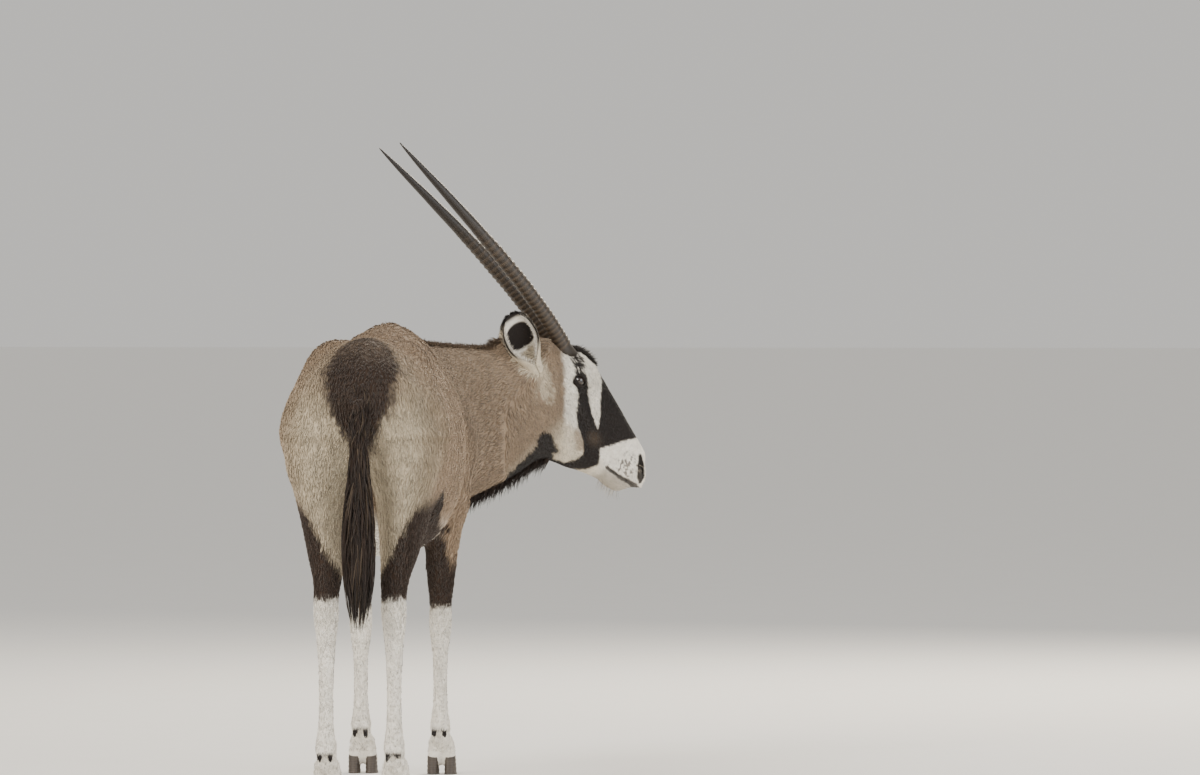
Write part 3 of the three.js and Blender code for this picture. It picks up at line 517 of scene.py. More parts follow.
    def face_relief(self, p: Array) -> Array:
        """Hollows (positive) and ridges (negative) of the face, in millimetres inwards."""
        local = self.head_local(p)
        near = (local[:, 1] > -20) & (p[:, 0] > 280)
        result = np.zeros(len(p))
        if not near.any():
            return result
        side, along, up = np.abs(local[near, 0]), local[near, 1], local[near, 2]
        lines = (
            (((92, 34), (132, 18)), 15, 3.4), (((96, -2), (150, -10), (205, -18)), 8, -1.8),
            (((118, -30), (150, -58), (158, -100)), 9, 1.8), (((30, -30), (60, -60), (90, -96)), 14, 1.6),
            (((276, -56), (262, -34), (256, -14)), 5, 1.6), (((268, -62), (250, -58), (236, -66)), 5, 1.3),
            (((296, -36), (330, -28), (356, -20)), 9, -1.8), (((300, -62), (336, -56)), 8, -1.5),
            (((312, 36), (336, 6), (360, -14)), 5, 2.0), (((210, 30), (270, 14)), 14, 1.6),
            (((24, 70), (52, 66), (82, 56)), 6, -2.0), (((30, 24), (52, 16), (78, 22)), 5, 1.8),
            (((24, 16), (52, 6), (86, 12)), 5, -0.9), (((150, 60), (260, 40)), 9, -1.0),
        )
        total = np.zeros(len(side))
        for line, width, depth in lines:
            gap = line_gap(along, up, tuple((x, y, 0.0) for x, y in line))
            total += depth * np.exp(-((gap / width) ** 2))
        result[near] = total * step(8, 20, side) + hash_noise(p[near], 16, 4) * 0.35
        return result

    def coat_depth(self, p: Array) -> Array:
        """Depth of the coat over the skin at each place."""
        along = self.head_local(p)[:, 1]
        on_head = step(-60, 20, along) * step(300, 360, p[:, 0])
        depth = 4.2 - 2.0 * (1 - step(430, 620, p[:, 2]))
        return depth * (1 - on_head) + on_head * (2.2 - 1.1 * step(180, 320, along))

    def skin(self, p: Array) -> Array:
        """Distance to the skin, which lies inside the solids by the depth of the coat."""
        whole = self.whole(p) + self.coat_depth(p) + self.relief(p)
        return self.openings(p, whole)

    def landed(self, roots: Array, way: Array, rounds: int, share: float = 0.9,
               shape: str = "whole") -> Array:
        """Moves places along their way until they meet a surface, by a share of the gap each round."""
        read = getattr(self, shape)
        for _ in range(rounds):
            roots = roots + way * (np.clip(read(roots), 0, 60) * share)[:, None]
        return roots

    def normals(self, p: Array, shape: str = "whole") -> Array:
        """Outward directions of a field at places.

        Args:
            p: Places.
            shape: Name of the field's method.

        Returns:
            Unit vectors.
        """
        read = getattr(self, shape)
        reach = 0.8
        return unit(sum(corner * read(p + corner * reach)[:, None] for corner in TETRA))


# Colours

def from_screen(red: int, green: int, blue: int) -> Array:
    """A screen colour as linear light."""
    value = np.array([red, green, blue]) / 255.0
    return np.where(value <= 0.04045, value / 12.92, ((value + 0.055) / 1.055) ** 2.4)


def paint(base: Array, tone: Array, share: Array) -> Array:
    """Lays a tone over colours by a share for each place."""
    share = np.clip(share, 0, 1)[..., None]
    return base * (1 - share) + tone * share


def coat_tone(red: int, green: int, blue: int) -> Array:
    """A field that holds a screen colour as linear light."""
    return field(default_factory=lambda: from_screen(red, green, blue))


@dataclass(frozen=True)
class Palette:
    """The coat's colours."""

    fawn: Array = coat_tone(156, 134, 110)
    neck: Array = coat_tone(146, 127, 106)
    back: Array = coat_tone(134, 113, 91)
    rump: Array = coat_tone(180, 166, 142)
    grey: Array = coat_tone(158, 142, 119)
    dark: Array = coat_tone(52, 38, 28)
    black: Array = coat_tone(27, 20, 17)
    white: Array = coat_tone(236, 230, 218)
    cream: Array = coat_tone(208, 196, 174)
    lips: Array = coat_tone(38, 31, 28)


@dataclass
class Markings:
    """Where each colour of the coat lies, from shapes in the animal's own millimetres."""

    body: Anatomy
    palette: Palette = field(default_factory=Palette)
    eye_stripe: Rows = (
        (58, 42, 18), (82, 28, 18.5), (120, -1, 22), (152, -21, 24), (190, -31, 25.5), (214, -48, 23),
        (230, -68, 26), (226, -98, 20),
    )
    patch_aside: float = 6
    hind_white: float = 500
    fore_white: float = 436
    brow_blotch: Rows = ((-6, 94, 8), (8, 80, 14), (30, 62, 15), (50, 50, 16))
    jaw_stripe: Rows = ((222, -98, 18), (200, -129, 10), (164, -151, 11), (128, -150, 20), (98, -134, 24))
    nose_edge: Rows = (
        (86, 128), (100, 104), (112, 86), (137, 54), (165, 26), (180, 4), (196, -24), (222, -46), (238, -20),
        (250, 2), (268, 34), (290, 66), (306, 104),
    )

    def edge(self, gap: Array, p: Array, soft: float, rough: float, seed: int) -> Array:
        """A hairy-edged mask.

        Args:
            gap: Distance past the mask's edge, negative inside.
            p: Places, for the noise that frays the edge.
            soft: Half width of the change.
            rough: How far the noise moves the edge.
            seed: Chooses the noise.

        Returns:
            1 inside and 0 outside.
        """
        frayed = gap + rough * (hash_noise(p, 9, seed) + 0.6 * hash_noise(p, 4, seed + 1))
        return 1 - step(-soft, soft, frayed)

    def trunk_tones(self, p: Array, n: Array) -> Array:
        """Colours of the trunk and neck before the dark marks."""
        x, y, z = p.T
        tones = self.palette
        colour = np.repeat(tones.fawn[None], len(p), axis=0)
        colour = paint(colour, tones.neck, step(1150, 1350, y))
        colour = paint(colour, tones.back, 0.75 * step(1010, 1120, z) * (1 - step(1150, 1300, y)))
        rear = (1 - step(60, 250, y)) * (1 - step(930, 1060, z))
        side_grey = step(125, 185, np.abs(x))
        colour = paint(colour, tones.grey, (1 - step(90, 300, y)) * 0.7)
        colour = paint(colour, tones.rump, rear * (1 - 0.7 * side_grey))
        below = step(0.4, 0.85, -n[:, 2]) * (1 - step(660, 720, z)) * step(330, 480, y)
        colour = paint(colour, tones.white, below * (1 - step(1230, 1330, y)))
        return colour

    def dark_body(self, p: Array, n: Array) -> Array:
        """Share of dark hair on the trunk, neck and thighs."""
        x, y, z = p.T
        off = np.abs(x - self.patch_aside)
        wide_rear = np.interp(z, [780, 840, 880, 917, 956, 998, 1054, 1100],
                              [0, 13, 28, 46, 70, 84, 92, 90])
        wide_top = np.interp(y, [40, 90, 150, 210, 250, 320, 1150, 1250], [90, 88, 74, 44, 20, 7, 5, 6])
        wide = np.where(z > 1060, np.minimum(wide_top, 92), np.minimum(wide_rear, wide_top + 30))
        patch = self.edge(off - wide, p, 16, 10, 11) * (1 - step(850, 950, y))
        patch *= step(0.0, 0.2, n[:, 2] + (y < 120) * 1.0)
        stripe = line_gap(y, z, (
            (1092, 640, 12), (1040, 632, 22), (900, 628, 27), (740, 638, 31), (600, 668, 36),
            (480, 712, 44), (400, 724, 50), (330, 690, 46),
        ))
        band = self.edge(stripe, p, 6, 6, 13) * step(0.25, 0.5, np.abs(n[:, 0])) * step(300, 380, y)
        _, side, _ = self.body.neck_local(p)
        neck_zone = step(1190, 1290, y)
        middle = np.where(y > 1300, side, x)
        throat = self.edge(np.abs(middle) - 20, p, 6, 5, 15) * step(0.3, 0.6, -n[:, 2] + 0.25 * n[:, 1])
        ridge = np.abs(middle + self.body.aside * (y < 1300)) - 7
        crest = 0.6 * self.edge(ridge, p, 5, 4, 17) * step(0.35, 0.6, n[:, 2])
        return np.maximum.reduce([patch, band, throat * neck_zone, crest * step(1180, 1260, y)])

    def leg_tones(self, p: Array, n: Array, colour: Array) -> Array:
        """Lays the legs' black and white over colours."""
        x, y, z = p.T
        tones = self.palette
        hind = y < 640
        off = np.abs(x)
        out = n[:, 0] * np.sign(x)
        hind_top = 562 + (off - 47) * 1.64 + np.where(out > 0.2, 10, 0)
        fore_top = 646 - 92 * step(-0.45, 0.45, out + 0.55 * n[:, 1])
        top = np.where(hind, hind_top, fore_top)
        white_top = np.where(hind, self.hind_white, self.fore_white)
        white = self.edge(z - white_top, p, 8, 6, 21)
        dark = self.edge(z - top, p, 20, 12, 23) * step(0, 1, np.where(hind, 1 - step(700, 780, z), 1))
        colour = paint(colour, tones.dark, dark)
        colour = paint(colour, tones.white, white)
        shin_low, shin_high = np.where(hind, 190, 180), np.where(hind, 400, 350)
        shin_gap = np.maximum(np.maximum(shin_low - z, z - shin_high), (0.1 - n[:, 1]) * 40)
        colour = paint(colour, tones.dark, self.edge(shin_gap, p, 6, 6, 25))
        pastern = self.edge(np.maximum(z - 92, (0.2 - n[:, 1]) * 30), p, 5, 4, 27) * 0.8
        colour = paint(colour, tones.dark, pastern)
        left_lean = np.where(hind, -34, 42) * (1 - z / 720) * (x < 0)
        behind = y - np.where(hind, 94, 1176) - left_lean
        dew = np.maximum(behind + 27, np.abs(z - 106) - 15)
        return paint(colour, tones.black, self.edge(dew, p, 3, 1.5, 29))

    def head_tones(self, p: Array, local: Array) -> Array:
        """Colours of the face."""
        tones = self.palette
        side, along, up = np.abs(local[:, 0]), local[:, 1], local[:, 2]
        colour = np.repeat(tones.white[None], len(p), axis=0)
        behind = up + 0.95 * (along + 11) - 45
        tan = 1 - step(-16, 12, behind + 5 * hash_noise(p, 12, 31))
        colour = paint(colour, tones.neck, tan * (1 - step(150, 260, along)))
        lower = (1 - step(-70, -38, up)) * step(60, 130, along) * (1 - step(240, 300, along))
        colour = paint(colour, tones.cream, lower * 0.8)
        blotch = line_gap(along, up, ((150, -54, 10), (186, -66, 17)))
        colour = paint(colour, tones.neck, self.edge(blotch, p, 9, 5, 47) * 0.75)
        by_ear = line_gap(along, up, ((-60, -6, 18), (-30, -34, 26), (6, -52, 16)))
        colour = paint(colour, tones.cream, self.edge(by_ear, p, 16, 14, 49) * step(30, 44, side) * 0.75)
        stripe = line_gap(along, up, self.eye_stripe)
        jaw = line_gap(along, up, self.jaw_stripe)
        on_side = step(12, 20, side)
        nose = (np.interp(along, *zip(*self.nose_edge)) - up) * 0.72
        brow = line_gap(along, up, self.brow_blotch)
        flecks = step(-0.55, -0.3, hash_noise(p, 5, 58))
        grizzled = self.edge(brow, p, 4, 6, 57) * (0.3 + 0.7 * flecks) * step(10, 20, side)
        link = side - np.interp(along, [-60, -20, 20, 62, 84, 100], [28, 33, 30, 20, 9, 28])
        link = self.edge(np.maximum(link, 84 - up), p, 3, 3, 39) * (along < 120)
        under = np.maximum(np.abs(along - 122) - 30, up + 118)
        dark = np.maximum.reduce([
            self.edge(stripe, p, 2.6, 2.2, 33) * on_side, self.edge(jaw, p, 3.5, 3, 35), grizzled,
            self.edge(nose, p, 2.6, 2.2, 37), link, self.edge(under, p, 6, 5, 41),
        ])
        brown = (1 - np.clip(np.hypot((along - 198) / 34, (up + 28) / 26), 0, 1)) * 0.3
        colour = paint(colour, tones.black, dark)
        colour = paint(colour, tones.neck * 0.6, brown * dark)
        # The chin and lower lip are painted grey: partly their own greyer hair, partly painted shade under the
        # mouth.
        lip_up = np.interp(along, [281, 300, 345, 392], [-52, -49, -37, -24])
        chin = step(3, 9, lip_up - up) * step(262, 292, along)
        colour = paint(colour, tones.grey * 0.62, chin * 0.62)
        dots = step(0.08, 0.3, hash_noise(p, 4.6, 59)) * step(282, 300, along) * (1 - step(338, 352, along))
        dots = dots * (1 - step(16, 34, up)) * step(-44, -34, up)
        colour = paint(colour, tones.dark, dots * 0.75)
        lip = line_gap(along, up, tuple((a, u, 4.6 + (a - 281) * 0.02) for a, u in self.body.mouth))
        colour = paint(colour, tones.lips, self.edge(lip, p, 2.0, 1.5, 43) * 0.92)
        nostril = line_gap(along, up, ((330, 37, 6), (346, 21, 13), (365, 0, 13), (376, -11, 6)))
        return paint(colour, tones.black, self.edge(nostril, p, 2, 1, 45) * step(6, 12, side) * 0.97)

    def by_ears(self, p: Array) -> Array:
        """Share of pale hair round the roots of the ears."""
        ears, reach = Ears(self.body, self.palette), 70.0
        near = np.full(len(p), 1e3)
        for side in Side:
            root, axis, _, _ = ears.axes(side)
            along = np.clip((p - root) @ axis, 0, reach)[:, None]
            near = np.minimum(near, np.linalg.norm(p - root - along * axis, axis=1))
        return self.edge(near - 34, p, 6, 5, 61)

    def colours(self, p: Array, n: Array) -> Array:
        """The coat's colour at places.

        Args:
            p: Places.
            n: Outward directions there.

        Returns:
            Linear colours, one row each.
        """
        x, y, z = p.T
        colour = self.trunk_tones(p, n)
        colour = paint(colour, self.palette.dark, self.dark_body(p, n))
        low = (1 - step(700, 790, z)) * (1 - step(640, 700, z) * (y > 640))
        near_leg = ((y < 440) | ((y > 1060) & (y < 1320))) & (np.abs(x) > 8)
        legs = self.leg_tones(p, n, colour)
        colour = np.where((near_leg & (low > 0) & (x < 300))[:, None], legs, colour)
        local = self.body.head_local(p)
        head = self.head_tones(p, local)
        share = step(-58, -30, local[:, 1] + 0.35 * local[:, 2]) * (x > 250)
        colour = colour * (1 - share[:, None]) + head * share[:, None]
        colour = paint(colour, self.palette.cream, 0.85 * self.by_ears(p))
        grizzle = step(1060, 1130, z) * (y < 260) * (0.22 + 0.16 * hash_noise(p, 14, 55))
        colour = paint(colour, self.palette.back, grizzle)
        mottle = 1 + 0.07 * hash_noise(p, 26, 51) + 0.09 * hash_noise(p, 7, 53)
        return np.clip(colour * mottle[:, None], 0, 1)


# Hair that lies over the skin

@dataclass
class Lie:
    """The way the hair points over the body."""

    body: Anatomy

    def directions(self, p: Array, n: Array) -> Array:
        """Directions of the hair, along the skin.

        Args:
            p: Places.
            n: Outward directions there.

        Returns:
            Unit vectors in the skin's plane.
        """
        x, y, z = p.T
        side = np.sign(p[:, :1])
        trunk = np.array([0.0, -1.0, -0.32]) + side * np.array([0.05, 0, 0])
        down = np.array([0.0, -0.22, -1.0])
        share, _, _ = self.body.neck_local(p)
        _, heading = self.body.plan(share)
        neck = np.concatenate([-heading, np.full((len(p), 1), -0.42)], axis=1)
        face = np.repeat(self.body.head_vector(0, 1, -0.35)[None], len(p), axis=0)
        rear = ((1 - step(40, 300, y)) * (1 - step(1000, 1110, z)))[:, None]
        way = trunk * (1 - rear) + down * rear
        low = (1 - step(600, 760, z))[:, None] * (np.abs(n[:, 2:3]) < 0.8)
        way = way * (1 - low) + down * low
        on_neck = step(1180, 1320, y)[:, None] * (p[:, 2:3] > 560)
        way = way * (1 - on_neck) + neck * on_neck
        local = self.body.head_local(p)
        on_head = (step(-70, -20, local[:, 1]) * (x > 250))[:, None]
        way = way * (1 - on_head) + face * on_head
        swirl = hash_noise(p, 130, 61)[:, None] * np.cross(n, unit(way)) * 0.22
        way = unit(way) + swirl
        return unit(way - (way * n).sum(axis=1, keepdims=True) * n)


def blades(name: str, spines: Array, across: Array, widths: Array, depth: float,
           tones: Array, patches: Array, tips: Array, material: Material) -> Piece:
    """Builds many closed tapered blades as one mesh.

    Args:
        name: The piece's name.
        spines: Middle lines, as blades by stations by three, in the animal's millimetres.
        across: Unit vectors over each blade's width, in the same layout.
        widths: Full widths, as blades by stations; the last station is the point.
        depth: Thickness as a share of the width.
        tones: One colour for each blade.
        patches: One place on the bake map for each blade.
        tips: One colour for each blade's point.
        material: Their finish.

    Returns:
        The piece.
    """
    count, stations, _ = spines.shape
    ahead = unit(np.gradient(spines, axis=1))
    over = unit(np.cross(ahead, across))
    half = widths[..., None] * 0.5
    left = spines - across * half
    right = spines + across * half
    ridge = spines + over * half * 2 * depth
    rings = np.stack([left[:, :-1], right[:, :-1], ridge[:, :-1]], axis=2)
    verts = np.concatenate([rings.reshape(count, -1, 3), spines[:, -1:]], axis=1)
    per = verts.shape[1]
    faces = [(0, 1, 2)]
    for i in range(stations - 2):
        a, b = 3 * i, 3 * i + 3
        for k in range(3):
            m = (k + 1) % 3
            faces += [(a + k, b + k, b + m), (a + k, b + m, a + m)]
    last = 3 * (stations - 2)
    faces += [(last + k, per - 1, last + (k + 1) % 3) for k in range(3)]
    triangles = (np.array(faces)[None] + (np.arange(count) * per)[:, None, None]).reshape(-1, 3)
    along = np.concatenate([np.repeat(np.linspace(0, 1, stations)[:-1], 3), [1.0]])
    wide = np.concatenate([np.tile([0.0, 1.0, 0.5], stations - 1), [0.5]])
    spot = patches[:, None, :] + MAP_PATCH * columns(wide - 0.5, along - 0.5)[None]
    shade = along[None, :, None] ** 1.4
    colour = tones[:, None, :] * (1 - shade) + tips[:, None, :] * shade
    return mesh_piece(name, verts.reshape(-1, 3), triangles, colour.reshape(-1, 3), material, spot.reshape(-1, 2))


def mesh_piece(name: str, points: Array, faces: Array, tones: Array, material: Material,
               spots: Array | None = None) -> Piece:
    """Makes a mesh piece from arrays.

    Args:
        name: The piece's name.
        points: Places in the animal's millimetres.
        faces: Corners of each face, all with as many corners.
        tones: A colour for each point.
        material: Its finish.
        spots: A place on the bake map for each point.

    Returns:
        The piece, smooth shaded and linked to the scene.
    """
    mesh = bpy.data.meshes.new(name)
    mesh.vertices.add(len(points))
    mesh.vertices.foreach_set("co", BODY.to_scene(points).astype(np.float32).ravel())
    corners = faces.shape[1]
    mesh.loops.add(faces.size)
    mesh.loops.foreach_set("vertex_index", faces.astype(np.int32).ravel())
    mesh.polygons.add(len(faces))
    mesh.polygons.foreach_set("loop_start", np.arange(0, faces.size, corners, dtype=np.int32))
    mesh.update(calc_edges=True)
    mesh.polygons.foreach_set("use_smooth", np.ones(len(faces), dtype=bool))
    tone_layer = mesh.attributes.new("coat_tone", "FLOAT_COLOR", "POINT")
    full = np.concatenate([tones, np.ones((len(tones), 1))], axis=1)
    tone_layer.data.foreach_set("color", full.astype(np.float32).ravel())
    if spots is not None:
        layer = mesh.uv_layers.new(name="OFBake")
        layer.data.foreach_set("uv", np.clip(spots[faces.ravel()], 0, 1).astype(np.float32).ravel())
    mesh.validate()
    mesh.materials.append(material)
    piece = bpy.data.objects.new(name, mesh)
    bpy.context.scene.collection.objects.link(piece)
    return piece


def outward(points: Array, faces: Array) -> Array:
    """Turns a closed mesh's faces outwards if they point in."""
    a, b, c = points[faces[:, 0]], points[faces[:, 1]], points[faces[:, 2]]
    volume = (a * np.cross(b, c)).sum()
    return faces if volume > 0 else faces[:, ::-1]


def tube(rows: int, around: int) -> Array:
    """Triangles between rows of points, each row a closed ring."""
    i, k = np.meshgrid(np.arange(rows - 1), np.arange(around), indexing="ij")
    a, b = i * around + k, i * around + (k + 1) % around
    return np.stack([a, b, b + around, a, b + around, a + around], axis=-1).reshape(-1, 3)


def closed_tube(rings: Array, start: Array, end: Array) -> tuple[Array, Array]:
    """Closes rings of points with one more point at each end.

    Args:
        rings: Points, as rows by places round the row by three.
        start: The point inside the first ring.
        end: The point inside the last ring.

    Returns:
        Points and outward triangles.
    """
    rows, around, _ = rings.shape
    points = np.concatenate([rings.reshape(-1, 3), [start, end]])
    k, first, last = np.arange(around), np.full(around, rows * around), (rows - 1) * around
    caps = [columns(first, (k + 1) % around, k),
            columns(first + 1, last + k, last + (k + 1) % around)]
    return points, outward(points, np.concatenate([tube(rows, around), *caps]))


# Shader nodes

class Wire:
    """A shader socket that takes part in sums."""

    def __init__(self, tree: "Shader", socket: bpy.types.NodeSocket) -> None:
        """Keeps the socket and the tree that it is in."""
        self.tree = tree
        self.socket = socket

    def _sum(self, operation: str, first: "Wire | float", second: "Wire | float") -> "Wire":
        """Adds a Math node."""
        return self.tree.node("ShaderNodeMath", {"operation": operation}, {0: first, 1: second})

    def __add__(self, other: "Wire | float") -> "Wire":
        """This plus other."""
        return self._sum("ADD", self, other)

    __radd__ = __add__

    def __sub__(self, other: "Wire | float") -> "Wire":
        """This less other."""
        return self._sum("SUBTRACT", self, other)

    def __rsub__(self, other: "Wire | float") -> "Wire":
        """Other less this."""
        return self._sum("SUBTRACT", other, self)

    def __mul__(self, other: "Wire | float") -> "Wire":
        """This times other."""
        return self._sum("MULTIPLY", self, other)

    __rmul__ = __mul__

    def __pow__(self, other: "Wire | float") -> "Wire":
        """This to a power."""
        return self._sum("POWER", self, other)


class Shader:
    """One material's node tree."""

    def __init__(self, name: str) -> None:
        """Starts a material with its shader and output."""
        self.material = bpy.data.materials.new(name)
        self.material.use_nodes = True
        self.tree = self.material.node_tree
        self.surface = self.tree.nodes["Principled BSDF"]

    def node(self, kind: str, settings: dict[str, object] | None = None,
             values: dict[object, object] | None = None, output: object = 0) -> Wire:
        """Adds a node.

        Args:
            kind: The node's type.
            settings: Its settings, set first; a ramp's stops go under "stops".
            values: Values or wires for its sockets.
            output: Which of its outputs is wanted.

        Returns:
            The wanted output.
        """
        node = self.tree.nodes.new(kind)
        for key, value in (settings or {}).items():
            if key == "stops":
                ramp = node.color_ramp
                while len(ramp.elements) < len(value):
                    ramp.elements.new(0.5)
                for element, (place, tone) in zip(ramp.elements, value):
                    element.position = place
                    element.color = tone
            else:
                setattr(node, key, value)
        for key, value in (values or {}).items():
            if isinstance(value, Wire):
                self.tree.links.new(value.socket, node.inputs[key])
            else:
                node.inputs[key].default_value = value
        return Wire(self, node.outputs[output])

    def set(self, **values: object) -> None:
        """Sets or links sockets of the main shader, named with underscores for spaces."""
        for key, value in values.items():
            socket = self.surface.inputs[key.replace("_", " ")]
            if isinstance(value, Wire):
                self.tree.links.new(value.socket, socket)
            else:
                socket.default_value = value

    def place(self) -> Wire:
        """The object's own coordinates in metres."""
        return self.node("ShaderNodeTexCoord", output="Object")

    def noise(self, place: Wire, scale: float, detail: float = 3.0, roughness: float = 0.55) -> Wire:
        """Noise from 0 to 1 over the object."""
        return self.node("ShaderNodeTexNoise", {}, {
            "Vector": place, "Scale": scale, "Detail": detail, "Roughness": roughness}, "Fac")

    def stretched(self, place: Wire, scale: Place) -> Wire:
        """Coordinates stretched along the axes."""
        values = {"Vector": place, "Scale": scale}
        return self.node("ShaderNodeMapping", {"vector_type": "POINT"}, values, "Vector")

    def mixed(self, factor: "Wire | float", first: object, second: object, blend: str = "MIX") -> Wire:
        """Mixes two colours by a factor."""
        node = self.tree.nodes.new("ShaderNodeMix")
        node.data_type = "RGBA"
        node.blend_type = blend
        for index, value in ((0, factor), (6, first), (7, second)):
            if isinstance(value, Wire):
                self.tree.links.new(value.socket, node.inputs[index])
            else:
                node.inputs[index].default_value = value
        return Wire(self, node.outputs[2])

    def toned(self, shade: Wire) -> Wire:
        """The piece's own tones times a shade."""
        tone = self.node("ShaderNodeAttribute", {"attribute_name": "coat_tone"}, output="Color")
        grey = self.node("ShaderNodeCombineColor", {}, {"Red": shade, "Green": shade, "Blue": shade}, "Color")
        return self.mixed(1.0, tone, grey, "MULTIPLY")

    def bump(self, height: Wire, strength: float, distance: float) -> Wire:
        """A bump that feeds Normal."""
        return self.node("ShaderNodeBump", {}, {
            "Height": height, "Strength": strength, "Distance": distance}, "Normal")


@dataclass(frozen=True)
class FurFinish:
    """Short hair: the coat's own tone, broken by fine streaks, with a soft sheen."""

    name: str
    streak: float = 0.28
    roughness: float = 0.72
    sheen: float = 0.12
    bump: float = 0.5
    depth: float = 0.0012

    def material(self) -> Material:
        """Builds the material."""
        shader = Shader(self.name)
        place = shader.place()
        fine = shader.noise(shader.stretched(place, (1.0, 0.35, 0.6)), 520, 2.0)
        broad = shader.noise(place, 70, 3.0)
        shade = 1 + (fine - 0.5) * self.streak * 2 + (broad - 0.5) * self.streak
        shader.set(Base_Color=shader.toned(shade), Roughness=self.roughness + (broad - 0.5) * 0.12,
                   Sheen_Weight=self.sheen, Sheen_Roughness=0.5, Specular_IOR_Level=0.25,
                   Normal=shader.bump(fine * 0.7 + broad * 0.3, self.bump, self.depth))
        return shader.material


@dataclass(frozen=True)
class HornFinish:
    """Dark horn, worn paler on the crests of its rings and polished towards the tip."""

    name: str = "ringed_horn"

    def material(self) -> Material:
        """Builds the material."""
        shader = Shader(self.name)
        place = shader.place()
        grain = shader.noise(shader.stretched(place, (1, 1, 0.25)), 340, 4.0, 0.65)
        patches = shader.noise(place, 38, 3.0)
        shade = 0.72 + grain * 0.38 + patches * 0.22
        shader.set(Base_Color=shader.toned(shade), Roughness=0.36 + grain * 0.22,
                   Specular_IOR_Level=0.5, Normal=shader.bump(grain, 0.35, 0.0008))
        return shader.material


@dataclass(frozen=True)
class EyeFinish:
    """A wet dark brown eye with a level slot of a pupil."""

    name: str = "wet_eye"

    def material(self) -> Material:
        """Builds the material."""
        shader = Shader(self.name)
        veins = shader.noise(shader.place(), 900, 3.0)
        shade = 0.75 + veins * 0.5
        shader.set(Base_Color=shader.toned(shade), Roughness=0.06, Coat_Weight=1.0,
                   Coat_Roughness=0.03, IOR=1.38)
        return shader.material


@dataclass(frozen=True)
class HoofFinish:
    """Dark hoof horn with growth lines round it and patches of dusty wear."""

    name: str = "hoof_horn"

    def material(self) -> Material:
        """Builds the material."""
        shader = Shader(self.name)
        place = shader.place()
        lines = shader.node("ShaderNodeTexWave", {"bands_direction": "Z", "wave_profile": "SIN"},
                            {"Vector": place, "Scale": 52.0, "Distortion": 1.6, "Detail": 2.0}, "Fac")
        grain = shader.noise(place, 260, 4.0)
        wear = shader.noise(place, 60, 3.0)
        colour = shader.mixed(wear * 0.6 + lines * 0.15, (0.028, 0.022, 0.018, 1), (0.11, 0.085, 0.065, 1))
        shader.set(Base_Color=colour, Roughness=0.42 + grain * 0.25,
                   Normal=shader.bump(lines * 0.5 + grain * 0.5, 0.4, 0.0011))
        return shader.material


@dataclass(frozen=True)
class FloorFinish:
    """A plain pale matt floor."""

    name: str = "pale_floor"

    def material(self) -> Material:
        """Builds the material."""
        shader = Shader(self.name)
        speck = shader.noise(shader.place(), 6, 2.0)
        colour = shader.mixed(speck, (0.90, 0.885, 0.855, 1), (0.93, 0.915, 0.89, 1))
        shader.set(Base_Color=colour, Roughness=0.9)
        return shader.material


def three_each(items: bpy.types.bpy_prop_collection, key: str, kind: type) -> Array:
    """Reads a property that has three values for each item of a mesh."""
    values = np.empty(len(items) * 3, dtype=kind)
    items.foreach_get(key, values)
    return values.reshape(-1, 3)


def settle(piece: Piece, slot: str, *nodes: str) -> Piece:
    """Ties a finished piece to the frame.

    Args:
        piece: The finished piece.
        slot: Not used.
        nodes: The solids that it stands for.

    Returns:
        The piece.
    """
    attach(piece, "root")
    if nodes:
        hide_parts(*nodes)
    LOG.info("%s: %d faces", piece.name, len(piece.data.polygons))
    return piece


BODY = Anatomy()


